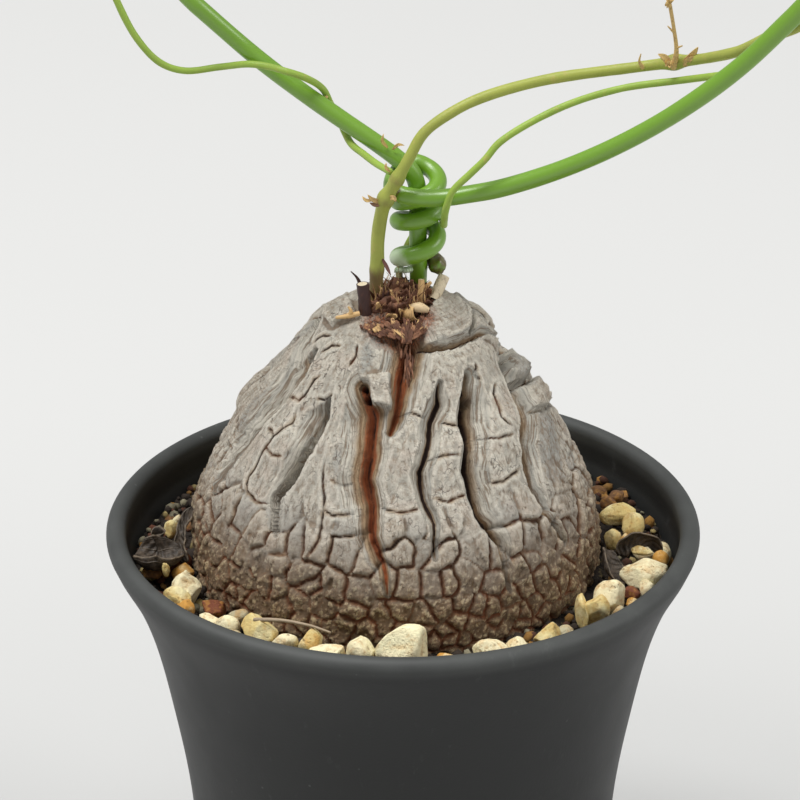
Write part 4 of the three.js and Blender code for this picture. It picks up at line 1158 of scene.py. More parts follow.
def skin_at(azimuth, run, step=0.6):
    """Places on the skin and the way straight out of it, from azimuths and ways down."""
    radius, height = radius_at(run), height_at(run)
    ahead, behind = np.minimum(run + step, SIDE_RUN[-1]), np.maximum(run - step, 0)
    rise = height_at(behind) - height_at(ahead)
    spread = radius_at(ahead) - radius_at(behind)
    angle = np.radians(azimuth)
    out = np.stack([np.sin(angle) * rise, -np.cos(angle) * rise, spread], -1)
    place = np.stack([TUBER_X + radius * np.sin(angle), -radius * np.cos(angle), height], -1)
    return place, unit(out)


def spot_on_skin(azimuth, height):
    return skin_at(np.array(azimuth), run_at(height))[0]


def on_skin(line, step=1.2):
    """A line of (azimuth, height) as close places on the skin."""
    points = np.array(line, float)
    fine = []
    for start, end in zip(points, points[1:]):
        span = max(2, int(np.linalg.norm((end - start) * (0.4, 1)) / step) + 1)
        fine += [start + (end - start) * share for share in np.linspace(0, 1, span, endpoint=False)]
    fine = np.array([*fine, points[-1]])
    return skin_at(fine[:, 0], run_at(fine[:, 1]))[0]


class Along:
    """How places on the skin lie to a line on it: how far away, on which side (right is positive),
    how far along in millimetres, and the share of the line's length."""

    def __init__(self, places, outs, line, reach=9.0):
        shape = places.shape[:-1]
        places, outs = places.reshape(-1, 3), outs.reshape(-1, 3)
        nodes = on_skin(line)
        marks = way_along(nodes)
        near = np.all((places > nodes.min(0) - reach) & (places < nodes.max(0) + reach), axis=1)
        spots, ways = places[near], outs[near]
        best = np.full(len(spots), FAR)
        best_side, best_mark = np.zeros(len(spots)), np.zeros(len(spots))
        for start, end, mark, next_mark in zip(nodes, nodes[1:], marks, marks[1:]):
            along = end - start
            offset = spots - start
            part = np.clip(offset @ along / along.dot(along), 0, 1)
            apart = np.linalg.norm(offset - part[:, None] * along, axis=1)
            nearer = apart < best
            turn = np.sign(np.einsum("ij,ij->i", np.cross(along, offset), ways))
            best = np.where(nearer, apart, best)
            best_side = np.where(nearer, turn, best_side)
            best_mark = np.where(nearer, blend(mark, next_mark, part), best_mark)
        self.apart = self.spread(near, best, shape, FAR)
        self.side = self.spread(near, best_side, shape, 0)
        self.mark = self.spread(near, best_mark, shape, 0)
        self.share = self.mark / marks[-1]

    def spread(self, near, values, shape, rest):
        whole = np.full(len(near), float(rest))
        whole[near] = values
        return whole.reshape(shape)


def back_splits():
    """The splits that the solid model draws round the back."""
    draw = draws(BACK_SEED)
    found = []
    for index in range(BACK_SPLITS["count"]):
        azimuth = blend(BACK_SPLITS["from"], BACK_SPLITS["to"], index / (BACK_SPLITS["count"] - 1))
        start = BACK_SPLITS["top"] - 6 * next(draw)
        end = BACK_SPLITS["bottom"] + 8 * next(draw)
        shares = (0, 0.25, 0.5, 0.75, 1)
        line = [(azimuth + 8 * (next(draw) - 0.5), blend(start, end, share)) for share in shares]
        width = BACK_SPLITS["width"] * (0.7 + 0.5 * next(draw))
        walls = {"left": width * 0.45, "right": width * 0.8, "depth": BACK_SPLITS["depth"]}
        found.append({"line": line, "rust": 0.3 + 0.5 * (index % 2), "head": 0.3, "tail": 0.2, **walls})
    return found


def plate_size(height, scale):
    wide, tall = (np.interp(height, PLATE_SIZES["height"], PLATE_SIZES[side]) for side in ("wide", "tall"))
    return (wide * scale, tall * scale) if scale == 1 else (wide * scale, wide * scale)


def scatter(scale, seed):
    """Centres of the plates: rows down the tuber, each with as many as fit round it."""
    draw = draws(seed)
    sites = []
    way, row = 0.0, 0
    while way < SIDE_RUN[-1]:
        wide, tall = plate_size(height_at(way), scale)
        count = max(LEAST_ROUND, round(2 * math.pi * radius_at(way) / wide))
        for place in range(count):
            shift = PLATE_JITTER * (2 * next(draw) - 1)
            azimuth = (place + 0.5 * (row % 2) + shift) * FULL_TURN / count
            sites.append((azimuth, way + PLATE_JITTER * (2 * next(draw) - 1) * tall))
        way += tall
        row += 1
    return np.array(sites)


def nearest_plates(across, down):
    """The numbers of the nearest and the second plate of each place, and the distance to their edge."""
    apart = across**2 + down**2
    order = np.argpartition(apart, 2, axis=1)[:, :3]
    ranked = np.take_along_axis(apart, order, 1)
    order = np.take_along_axis(order, np.argsort(ranked, axis=1), 1)
    first, second = order[:, 0], order[:, 1]
    lines = np.arange(len(first))
    between = np.hypot(
        across[lines, first] - across[lines, second], down[lines, first] - down[lines, second]
    )
    gap = (apart[lines, second] - apart[lines, first]) / (2 * np.maximum(between, 1e-6))
    return first, second, gap


def plate_field(azimuth, run, scale=1, seed=PLATE_SEED):
    """For each place on the sheet: the distance to the nearest edge between two plates, its plate's
    number, and how strong the crack at that edge is."""
    sites = scatter(scale, seed)
    edge, strength = np.zeros(azimuth.shape), np.zeros(azimuth.shape)
    number = np.zeros(azimuth.shape, int)
    for row in range(azimuth.shape[0]):
        middle = run[row].mean()
        wide, tall = plate_size(height_at(middle), scale)
        near = np.nonzero(np.abs(sites[:, 1] - middle) < 3 * tall + 1.5)[0]
        across = wrapped(sites[near, 0][None, :] - azimuth[row][:, None])
        across = np.radians(across) * radius_at(middle) / wide
        down = (sites[near, 1][None, :] - run[row][:, None]) / tall
        first, second, gap = nearest_plates(across, down)
        edge[row] = gap * wide
        number[row] = near[first]
        one, other = np.minimum(near[first], near[second]), np.maximum(near[first], near[second])
        pair = lattice(np.stack([one, other, one * 0], -1), PLATE_SEED)
        strength[row] = 0.2 + 0.8 * smooth(pair, 0.12, 0.5)
    return edge, number, strength


def polygon_depth(azimuth, run, corners):
    """How far inside a patch of the skin each place is, in millimetres; negative outside it."""
    corners = np.array([(angle, run_at(height)) for angle, height in corners], float)
    middle = corners[:, 0].mean()
    x = np.radians(wrapped(azimuth - middle)) * radius_at(run)
    xs, ys = np.radians(corners[:, 0] - middle) * radius_at(corners[:, 1]), corners[:, 1]
    least = np.full(azimuth.shape, FAR)
    inside = np.zeros(azimuth.shape, bool)
    for x0, y0, x1, y1 in zip(xs, ys, np.roll(xs, -1), np.roll(ys, -1)):
        dx, dy = x1 - x0, y1 - y0
        part = np.clip(((x - x0) * dx + (run - y0) * dy) / (dx * dx + dy * dy), 0, 1)
        least = np.minimum(least, np.hypot(x - x0 - part * dx, run - y0 - part * dy))
        crosses = (y0 > run) != (y1 > run)
        inside ^= crosses & (x < dx * (run - y0) / (dy or 1e-9) + x0)
    return np.where(inside, least, -least)


def clear_of_wire(places, outs):
    """Moves the skin inwards wherever the wire passes, so that it lies in a groove."""
    path = even(np.array(wire_path()), 1.0)
    path = path[path[:, 2] < GROOVE_TOP]
    for _ in range(GROOVE_PASSES):
        near = np.nonzero((places[:, 1] > WIRE_NEAR[0]) & (np.abs(places[:, 0]) < WIRE_NEAR[1]))[0]
        spots = places[near]
        apart = np.linalg.norm(spots[:, None, :] - path[None, :, :], axis=2)
        short = np.clip(WIRE_GROOVE - apart.min(axis=1), 0, None)
        places[near] -= outs[near] * short[:, None]
    return places


def averaged(values, rows, columns):
    """Each value of the sheet averaged with those round it. The columns go round in a ring."""
    padded = np.pad(values, ((rows + 1, rows), (0, 0)), "edge")
    padded = np.pad(padded, ((0, 0), (columns + 1, columns)), "wrap")
    total = padded.cumsum(0).cumsum(1)
    high, wide = 2 * rows + 1, 2 * columns + 1
    strips = total[high:] - total[:-high]
    return (strips[:, wide:] - strips[:, :-wide]) / (high * wide)


class Sheet:
    """The bark as a sheet of places, row by row from the crown down, that is shaped step by step."""

    def __init__(self):
        front = np.arange(-FRONT_REACH, FRONT_REACH, FRONT_COLUMN)
        back_end = FULL_TURN - FRONT_REACH - 0.5 * BACK_COLUMN
        back = np.arange(front[-1] + FRONT_COLUMN, back_end, BACK_COLUMN)
        bottom = run_at(FINE_BOTTOM)
        fine = np.arange(0, bottom, FINE_STEP)
        coarse = np.linspace(bottom, SIDE_RUN[-1], COARSE_ROWS)
        self.azimuth, self.run = np.meshgrid(np.concatenate([front, back]), np.concatenate([fine, coarse]))
        self.shape = self.azimuth.shape
        self.places, self.outs = skin_at(self.azimuth, self.run)
        self.height = self.places[..., 2]
        self.turned = np.abs(wrapped(self.azimuth))
        self.low = smooth(self.height, *LOW_BARK)
        self.sides = smooth(self.turned, *SIDE_TURNS) * smooth(self.height, *SIDE_HEIGHTS)
        self.rise = np.zeros(self.shape)
        self.margin = np.full(self.shape, FAR)
        self.values = {}
        self.bend()

    def bend(self):
        """The same places moved about a little, so that lines drawn on them wander."""
        wander = np.stack([rough(self.places, WANDER_SIZE, seed, 3) for seed in WANDER_SEEDS], -1)
        self.bent = self.places + BEND * wander
        self.gently_bent = self.places + GENTLE_BEND * wander
        bends = [rough(self.places, PLATE_BEND_SIZE, seed, 3) for seed in PLATE_BEND_SEEDS]
        across, down = (PLATE_BEND * bend for bend in bends)
        self.bent_azimuth = self.azimuth + np.degrees(across / radius_at(self.run))
        self.bent_run = self.run + down

    def uneven(self, height, size, seed, octaves, stretch=(1, 1, 1)):
        return height * rough(self.places * stretch, size, seed, octaves)

    def add_unevenness(self):
        """Slow waves, creases that run down the slabs, and rougher bark low down and at the sides."""
        self.rise += self.uneven(*SLOW_WAVES)
        self.rise += self.uneven(*CREASES, stretch=(1, 1, 0.4)) * (1 - self.low)
        self.rise += self.uneven(*LOW_ROUGHNESS) * self.low

    def split_depth(self, line, split, inward, wide):
        """How deep each place lies in a split: its terraced walls and the dark slot in its middle."""
        terrace = 0.06 * np.sin(line.apart * 9 + self.uneven(3, 6, 40, 2)) * (inward > 0)
        core = ridge(line.apart, 0.4 + 0.3 * wide)
        shape = 0.5 * smooth(inward, 0, 1.0) + 0.12 * smooth(inward, 0, 0.12) + 0.38 * core * (inward > 0)
        if split.get("steep"):
            shape = smooth(inward, 0, 0.45)
        return split["depth"] * np.sqrt(wide) * shape + terrace

    def add_splits(self):
        """The long splits. Where two of them meet, the deeper one is kept."""
        names = ("wall", "rust", "fine", "slow")
        found = {name: np.zeros(self.shape) for name in names}
        cleft = np.zeros(self.shape)
        for index, split in enumerate([*SPLITS, *back_splits()]):
            line = Along(self.gently_bent, self.outs, split["line"])
            wide = np.interp(line.share, SPLIT_SHARES, (split["head"], 1, 0.9, split["tail"]))
            vary = 1 + self.uneven(0.16, 2.6, SPLIT_SEED + index, 2)
            reach = np.maximum(np.where(line.side < 0, split["left"], split["right"]) * wide * vary, 0.05)
            inward = np.clip(1 - line.apart / reach, 0, 1)
            deep = self.split_depth(line, split, inward, wide)
            here = {"wall": inward, "rust": split["rust"], "fine": line.apart * line.side, "slow": line.mark}
            for name in names:
                found[name] = np.where(deep > cleft, here[name], found[name])
            cleft = np.maximum(cleft, deep)
            self.margin = np.minimum(self.margin, np.maximum(line.apart - reach, 0))
        self.rise -= cleft
        self.rise += SHOULDER[0] * smooth(self.margin, 0, SHOULDER[1]) * (1 - self.low)
        self.values.update(found)
        self.values["seam"] = self.margin + SEAM_MARGIN

    def add_cracks(self):
        near = np.full(self.shape, FAR)
        for line in CRACKS:
            crack = Along(self.gently_bent, self.outs, line, 4.0)
            ends = np.clip(6 * np.minimum(crack.share, 1 - crack.share), 0, 1)
            self.rise -= CRACK_DEPTH * ends * ridge(crack.apart, CRACK_WIDTH)
            near = np.minimum(near, crack.apart + 0.5 * (1 - ends))
        self.rise += CRACK_PILLOW * smooth(near, 0, 0.5)
        self.values["seam"] = np.minimum(self.values["seam"], near)

    def add_plates(self):
        """The plates: cracks between them, worn middles and steps from one to the next."""
        edge, number, strength = plate_field(self.bent_azimuth, self.bent_run)
        tone = (number * GOLDEN) % 1
        plated = np.maximum(smooth(self.height, *PLATED_HEIGHTS), smooth(self.turned, *PLATED_TURNS))
        depth = np.interp(self.height, CRACK_DEPTHS["height"], CRACK_DEPTHS["depth"])
        above = smooth(self.height, *STEPPED_HEIGHTS)
        shown = plated * strength
        self.rise += (0.3 + 0.35 * above) * (tone - 0.5) * plated * smooth(edge, 0, 0.6)
        self.rise += 0.5 * shown * smooth(edge, 0, 1.2)
        self.rise -= depth * shown * ridge(edge, 0.2)
        hidden = 0.5 * (1 - strength) + 5 * (1 - plated)
        self.values["seam"] = np.minimum(self.values["seam"], edge + hidden)
        self.values.update(tone=tone, plated=plated)

    def add_crumbs(self):
        """Small crumbs of bark on the lower plates and at the sides."""
        rows = np.nonzero(self.height.max(axis=1) < CRUMB_TOP)[0]
        edge, tone = np.ones(self.shape), np.zeros(self.shape)
        field = plate_field(self.bent_azimuth[rows], self.bent_run[rows], CRUMB_SCALE, CRUMB_SEED)
        edge[rows] = field[0]
        tone[rows] = (field[1] * GOLDEN) % 1
        share = np.maximum(smooth(self.height, *CRUMB_HEIGHTS), self.sides)
        self.rise += share * (0.28 * (tone - 0.4) * smooth(edge, 0, 0.35) - 0.1 * ridge(edge, CRUMB_LINE))
        self.values["crumb"] = share * np.where(edge < 0.14, 0.1, 0.3 + 0.7 * tone)
        self.values["crumbed"] = share

    def add_rims(self):
        """A raised rim beside each crack, and a worn and finely cracked middle behind it."""
        seam = self.values["seam"]
        within = smooth(seam, 1.0, 1.9)
        self.rise += RIM_RISE * ridge(seam - RIM_PLACE[0], RIM_PLACE[1])
        lines = np.abs(self.uneven(1, 2.3, 45, 3, (1, 1, 0.7)))
        self.rise += within * (0.08 * smooth(lines, 0, 0.1) - 0.1) * (1 - self.values["crumbed"])
        self.values["worn"] = within * smooth(lines, 0.1, 0.02)

    def inside(self, corners):
        return polygon_depth(self.bent_azimuth, self.bent_run, corners)

    def add_blocks(self):
        """Blocks of bark that stand out of the skin with steep sides, and the greyer facets."""
        zone = np.full(self.shape, -FAR)
        for lift, corners in BLOCKS:
            inside = self.inside(corners)
            within = smooth(inside, -0.1, 0.4)
            if lift > OVERHANG:
                self.rise -= within * np.minimum(self.rise, 0)
                self.values["wall"] = self.values["wall"] * (1 - within)
            self.rise += lift * within
            zone = np.maximum(zone, inside)
        self.values["block"] = zone
        self.values["facet"] = np.max([smooth(self.inside(corners), -0.4, 0.8) for corners in FACETS], axis=0)

    def add_pits(self):
        pit = np.zeros(self.shape)
        for azimuth, height, reach, depth in PITS:
            apart = np.linalg.norm(self.bent - spot_on_skin(azimuth, height), axis=-1)
            inside = smooth(apart, reach, 0.35 * reach)
            self.rise -= depth * inside
            pit = np.maximum(pit, inside)
        self.values["pit"] = pit
        apart = np.linalg.norm(self.bent - spot_on_skin(*SPLIT_HEAD), axis=-1)
        self.values["umber"] = smooth(apart, *UMBER_REACH)

    def finish(self):
        """The corners of the sheet, and the values that the finish reads at each."""
        self.rise -= SKIN_SUNK
        self.rise *= smooth(self.run, *TOP_RUN) * smooth(self.height, *BURIED_HEIGHTS)
        # The finish reads this to paint raised places lighter and hollows darker, as painted highlight and
        # shade.
        self.values["cavity"] = self.rise - averaged(self.rise, CAVITY_REACH, CAVITY_REACH)
        places = (self.places + self.outs * self.rise[..., None]).reshape(-1, 3)
        places = clear_of_wire(places, self.outs.reshape(-1, 3))
        return places, {name: value.ravel() for name, value in self.values.items()}


# The values that the bark's mesh holds for its finish
BARK_VALUES = ("seam", "wall", "rust", "tone", "cavity", "block", "crumb", "worn", "plated", "crumbed",
               "facet", "fine", "slow", "umber", "pit")


class BarkShader(Shader):
    """The finish of the bark, from the values that its mesh holds and some noises."""

    def __init__(self, bark):
        super().__init__("bark")
        self.bark = bark
        for name in BARK_VALUES:
            setattr(self, name, self.value(name))
        self.level = self.height()
        self.cloud = self.noise(7, 3)
        self.patch = self.noise(3.1, 4, roughness=0.6)
        self.streak = self.noise(0.7, 5, (1, 1, 0.2), 0.68)
        self.grain = self.noise(0.26, 4, (1, 1, 0.7), 0.75)
        self.speck = self.noise(0.8, 4, roughness=0.65)
        self.low = self.mask(self.level + (self.cloud - 0.5) * 8 + (self.speck - 0.5) * 7, 119, 102)
        self.line = self.mask(self.seam + (self.grain - 0.5) * 0.24, 0.26, 0.08)
        layers = {0: self.fine, 1: self.slow * 0.05, 2: self.rust * 20}
        across = self.node("ShaderNodeCombineXYZ", inputs=layers)
        self.stripes = self.noise_at(across, 0.4, 4, 0.7)
        self.bands = self.noise_at(across, 1.3, 2, 0.5)

    def hairlines(self):
        """Where the finest cracks run."""
        ragged = self.absolute(self.noise(2.6, 2, (1, 1, 0.4), 0.5) - 0.5)
        frayed = self.absolute(self.noise(1.9, 2, roughness=0.5) - 0.5)
        lines = self.most(self.mask(ragged, 0.009, 0.002), self.mask(frayed, 0.007, 0.002) * 0.8)
        return lines * self.mask(self.patch, 0.42, 0.54)

    def weathered(self):
        """The slabs: pale on raised bark and grey in its hollows, partly as painted highlight and shade and
        partly by random patches, with rosy and cool patches, brown streaks and bleached fibres.
        """
        bark, mask, mix = self.bark, self.mask, self.mix
        patch, streak, grain = self.patch, self.streak, self.grain
        # Painted highlight and shade: raised bark is mixed towards pale and hollows towards grey, broken up
        # by random patches.
        slab = mix(mask(self.cavity * 2 + (patch - 0.5) * 0.9, -0.3, 0.22), bark.grey, bark.pale)
        slab = mix(mask(self.cloud + (patch - 0.5) * 0.6, 0.5, 0.68) * 0.34, slab, bark.rosy)
        slab = mix(self.facet * 0.62, slab, bark.cool)
        slab = mix(mask(streak, 0.52, 0.36) * 0.42, slab, bark.brown)
        slab = mix(mask(grain, 0.5, 0.3) * 0.34, slab, bark.brown)
        slab = mix(mask(streak + (grain - 0.5) * 0.5, 0.6, 0.72) * 0.3, slab, bark.bleached)
        return mix(self.worn * 0.3, slab, bark.brown)

    def plates(self, slab, hairline):
        """Fine cracks, painted brown shade in the hollows, layers on the blocks, pale rims that are partly a
        painted highlight, plates of several tones, and tan beside the seams.
        """
        bark, mask, mix, seam, plated = self.bark, self.mask, self.mix, self.seam, self.plated
        slab = mix(hairline * 0.6, slab, bark.crack)
        # Painted shade: the hollows of the bark are darkened towards brown.
        slab = mix(mask(self.cavity, -0.04, -0.2) * 0.45, slab, bark.brown)
        layered = self.sine(self.level * 14 + self.noise(2.6, 3) * 16) * 0.5 + 0.5
        slab = mix(mask(self.block, 0, 0.6) * mask(layered, 0.3, 0.1) * 0.24, slab, bark.brown)
        # Pale rims beside the cracks: partly the bark's own pale edge, partly a painted highlight on the
        # raised rims.
        rim = mask(seam, 0.3, 0.5) * mask(seam, 1.2, 0.7)
        slab = mix(rim * (plated * 0.35 + 0.2), slab, bark.bleached)
        slab = mix(self.tone * plated * 0.22, slab, bark.brown)
        slab = mix(mask(self.tone, 0.42, 0.3) * plated * 0.4, slab, bark.cool)
        halo = mask(seam + (self.speck - 0.5) * 0.5, 0.75, 0.2) * mask(self.patch, 0.38, 0.58)
        return mix(halo * 0.5, slab, bark.tan)

    def crumbs(self):
        """The brown and nodular bark near the grit, darker brown in its hollows as painted shade."""
        bark, mask, mix = self.bark, self.mask, self.mix
        lit = mix(mask(self.speck, 0.45, 0.62), bark.brown, bark.nodule)
        # Painted shade: crumbs in hollows take a darker brown and raised ones the lit colour; each crumb's
        # own tone and random specks also choose.
        shown = mask(self.crumb + self.cavity * 1.6 + (self.speck - 0.5) * 0.9, 0.22, 0.85)
        return mix(shown, toned(bark.brown, 0.7), lit)

    def seamed(self, slab, base):
        """The slabs turned into the lower bark, with the lines of the cracks drawn on."""
        bark, mask, mix, low = self.bark, self.mask, self.mix, self.low
        slab = mix(low * 0.94, slab, base)
        slab = mix(self.crumbed * (1 - low) * mask(self.crumb, 0.35, 0.16) * 0.5, slab, bark.brown)
        slab = mix(low * mask(self.seam, 0.6, 0.2) * 0.34, slab, toned(bark.rust, 0.8))
        rusted = self.most(low, mask(self.cloud, 0.5, 0.6) * 0.6)
        rusty = mix(rusted, bark.crack, toned(bark.rust, 0.62))
        return mix(self.line * (0.92 - low * 0.2), slab, rusty)

    def split_walls(self, base):
        """Inside the splits: grey layers at the rim, tan and rust further in, and painted shade at the
        bottom.
        """
        bark, mask, mix, rust, stripes = self.bark, self.mask, self.mix, self.rust, self.stripes
        outer = mix(mask(stripes, 0.36, 0.6), bark.grey, bark.pale)
        outer = mix(mask(self.bands, 0.42, 0.6) * 0.4, outer, bark.cool)
        outer = mix(mask(stripes, 0.5, 0.4) * 0.55, outer, bark.brown)
        outer = mix(self.low * 0.85, outer, base)
        inner = mix(mask(stripes, 0.4, 0.58), bark.brown, bark.tan)
        depth = self.wall + (self.bands - 0.5) * 0.3 + (rust - 0.5) * 0.45
        inside = mix(mask(depth, 0.46, 0.74), outer, inner)
        red = mask(depth + (stripes - 0.5) * 0.6, 0.84, 1.0)
        streaked = mix(mask(stripes, 0.4, 0.56), toned(bark.rust, 0.6), bark.rust)
        inside = mix(red * mask(rust, 0.1, 0.6), inside, streaked)
        # Painted shade: the bottom of each split is painted near black.
        core = mask(self.wall + (stripes - 0.5) * 0.2 + (1 - rust) * 0.28, 0.95, 1.03)
        return mix(core, inside, bark.deep)

    def made(self):
        bark, mask, mix = self.bark, self.mask, self.mix
        hairline = self.hairlines()
        base = self.crumbs()
        slab = self.seamed(self.plates(self.weathered(), hairline), base)
        colour = mix(mask(self.wall, 0.0, 0.1), slab, self.split_walls(base))
        umber = self.umber * (mask(self.streak, 0.6, 0.4) * 0.4 + 0.6)
        colour = mix(umber, colour, mix(mask(self.grain, 0.4, 0.6), bark.crack, bark.rust))
        # Painted shade: the pits are painted darker still.
        colour = mix(self.pit, colour, toned(bark.deep, 0.6))
        relief = self.grain * 1.1 + self.streak * 1.2 - self.line - hairline * 0.8
        relief = relief + self.stripes * mask(self.wall, 0.05, 0.2) * 1.3
        return self.finish(colour, 0.86, relief, 0.42)


class BuildTuber(bpy.types.Operator):
    """Build the corky tuber with its slabs, plates and long splits"""

    bl_idname = "plant.build_tuber"
    bl_label = "Tuber"

    def execute(self, context):
        sheet = Sheet()
        for step in SHEET_STEPS:
            getattr(sheet, step)()
        places, values = sheet.finish()
        shape = Heap(*values)
        shape.add(places, closed_faces(*sheet.shape, turned=True), **values)
        bark = BarkShader(context.scene.tortoise_plant.bark)
        shape.piece("tuber_bark", bark.made(), "bark", "tuber")
        return {"FINISHED"}


# Crown


CROWN_MIDDLE = (-0.8, -1.0)
CROWN_RADIUS = 5.4
CROWN_BASE = 144.0
CROWN_SEED = 5
CROWN_FLAKES = 170
SPILL_LINE = [(3, 145.2), (5, 144.4), (9, 143), (11, 142), (9, 140.8), (6.5, 139)]
SPILL_SHREDS = 80
SPILL_HALF = 1.4
FUNNEL_SHREDS = 120
FUNNEL_TURN = (-44, 40)
FUNNEL_TOP = (145.0, 143.6)
FUNNEL_END = (9, 142.2)
HEART_HEIGHT = 3.9
HEART_ROUGHNESS = (0.28, 1.1, 2, 3)
STRAND_REACH = (2.0, 5.6)
STRAND_RADIUS = (0.07, 0.2)
STRAND_SIDES = 5
FLAKE_REACH = (2.6, 6.4)
FLAKE_HALF = (0.2, 1.3)
FLAKE_THICKNESS = (0.14, 0.34)
SHRED_HALF = (0.1, 0.55)
SHRED_THICKNESS = 0.12
FINE_SHRED_HALF = (0.06, 0.18)
FINE_SHRED_THICKNESS = 0.1
STUB_SIDES = 16
STUB_STEP = 0.4
STUB_UNEVEN = (0.06, 0.7, 6, 2)
STUB_RIM = 0.8
STUB_FLOOR = 0.7

# Cut and dried stubs: path, radii, tint of the bark (dark, tan or bleached) and of the broken end
STUBS = [
    ([(-6.3, -5.1, 142.8), (-6.6, -5.2, 147.6), (-6.9, -5.2, 150.2)], (1.2, 1.1, 1.02), 0.05, 1.0),
    ([(3.2, -2.8, 144), (3.1, -2.2, 147.7), (3.1, -1.8, 149.6)], (0.8, 0.66, 0.55), 0.5, 1.0),
    ([(3.1, -2.2, 147.6), (3.9, -2, 148.3), (4.7, -2.1, 149.2)], (0.45, 0.4, 0.28), 0.5, 0.0),
    ([(7, 0.6, 149.2), (6.1, -0.6, 147.5), (5.2, -1.8, 145.9)], (1.0, 1.05, 0.85), 0.95, 0.5),
    ([(0.2, -4.4, 144.2), (1.4, -6, 145.2), (2.4, -6.7, 145.6)], (1.1, 1.5, 1.3), 0.62, 0.5),
    ([(1.6, -6, 146.2), (2.8, -6.7, 146.5), (4.2, -6.5, 145.9)], (0.7, 0.9, 0.5), 0.8, 0.0),
    ([(-6.6, -0.8, 145), (-7.7, -1.2, 149.4), (-8.9, -1.4, 150.9)], (0.5, 0.4, 0.08), 0.12, 0.0),
    ([(-2.5, -3.6, 144.4), (-2.7, -3.7, 147), (-2.4, -3.8, 148.6)], (0.5, 0.36, 0.07), 0.12, 0.0),
    ([(-3.2, -3.4, 144.6), (-3.4, -3.6, 147.4), (-3.2, -3.6, 149)], (0.4, 0.3, 0.06), 0.2, 0.0),
    ([(-11.4, -6.4, 144.5), (-9.2, -6.8, 145), (-7.4, -6.4, 145.3)], (0.24, 0.46, 0.44), 0.56, 0.0),
    ([(-9.2, -6.7, 145), (-8.8, -6.9, 145.9), (-9.3, -6.8, 146.7)], (0.4, 0.34, 0.18), 0.56, 0.0),
]
HOLLOW = 0.9


def crown_finish(crown):
    skin = Shader("crown_fibre")
    tint, tone = skin.value("tint"), skin.value("tone")
    streak = skin.noise(0.5, 4, (1, 1, 0.3), 0.7)
    base = skin.mix(skin.mask(tint, 0.15, 0.5), crown.dark, crown.red)
    base = skin.mix(skin.mask(tint + tone * 0.15 + (streak - 0.5) * 0.4, 0.6, 0.85), base, crown.tan)
    colour = skin.mix(skin.mask(streak, 0.5, 0.34) * 0.6, base, toned(crown.dark, 0.4))
    return skin.finish(colour, 0.72, streak, 0.2)


def stub_finish(crown):
    skin = Shader("stub_wood")
    tint, cut = skin.value("tint"), skin.value("cut")
    streak = skin.noise(0.45, 4, (1, 1, 0.25), 0.7)
    base = skin.mix(skin.mask(tint, 0.2, 0.5), crown.stub, crown.tan)
    base = skin.mix(skin.mask(tint, 0.7, 0.9), base, crown.cut)
    base = skin.mix(skin.mask(streak, 0.48, 0.34) * 0.5, base, crown.dark)
    hollow = skin.mask(cut, 0.2, 0.45) * skin.mask(cut, 0.8, 0.6)
    base = skin.mix(hollow, base, toned(crown.dark, 0.3))
    colour = skin.mix(skin.mask(cut, 0.7, 0.95), base, crown.cut)
    return skin.finish(colour, 0.6, streak, 0.15)


def crown_heart(fibres):
    """The lump that the fibres stand in."""
    corners, faces = ball(4)
    heart = corners * (CROWN_RADIUS, CROWN_RADIUS, HEART_HEIGHT)
    uneven = 1 + HEART_ROUGHNESS[0] * rough(heart, *HEART_ROUGHNESS[1:])
    heart = heart * uneven[:, None] + (*CROWN_MIDDLE, CROWN_BASE)
    fibres.add(heart, [faces], tint=0.1 + 0.6 * np.abs(rough(heart, 1.4, 12, 2)), tone=0.2)


def crown_foot(draw, spread=1.0):
    angle, out = next(draw) * FULL_TURN, spread * CROWN_RADIUS * math.sqrt(next(draw))
    return around(angle, out, CROWN_BASE) + (*CROWN_MIDDLE, 0)


def bent_up(foot, lean, knee, reach, share, rise):
    """The foot, the knee and the tip of something that leans and bends on its way up."""
    return [foot, foot + lean * share + knee + (0, 0, reach * rise), foot + lean + (0, 0, reach)]


def crown_strands(fibres, draw, count):
    """Thin fibres that stand on the crown."""
    for _ in range(count):
        foot = crown_foot(draw)
        reach = blend(*STRAND_REACH, next(draw) ** 1.5)
        lean = level_step(draw, 0.6) * 3.2
        knee = level_step(draw) * 1.4
        path = catmull(bent_up(foot, lean, knee, reach, 0.3, 0.6), reach / 4)
        radii = blend(*STRAND_RADIUS, next(draw)) * np.linspace(1, 0.2, len(path))
        corners, faces = tube(path, radii, STRAND_SIDES, ends=False)
        fibres.add(corners, faces, tint=next(draw) ** 1.2, tone=next(draw))


def crown_flakes(fibres, draw):
    """Torn flakes of old bark and dead shoots that stand in the crown, the longest in its middle."""
    for _ in range(CROWN_FLAKES):
        foot = crown_foot(draw, 0.92) - (0, 0, 0.6)
        away = (foot - (*CROWN_MIDDLE, CROWN_BASE)) / CROWN_RADIUS
        size = next(draw)
        reach = blend(*FLAKE_REACH, next(draw)) * (1.05 - 0.4 * np.linalg.norm(away))
        lean = level_step(draw, 0.7) * 3 + away * blend(0, 1.3, next(draw))
        knee = level_step(draw) * 1.1
        path = bent_up(foot, lean, knee, reach, 0.4, 0.5)
        half, thickness, torn = blend(*FLAKE_HALF, size**2), blend(*FLAKE_THICKNESS, size), 0.7 * next(draw)
        add_scale(fibres, path, half, thickness, torn, tint=0.85 * next(draw) ** 1.7, tone=next(draw))


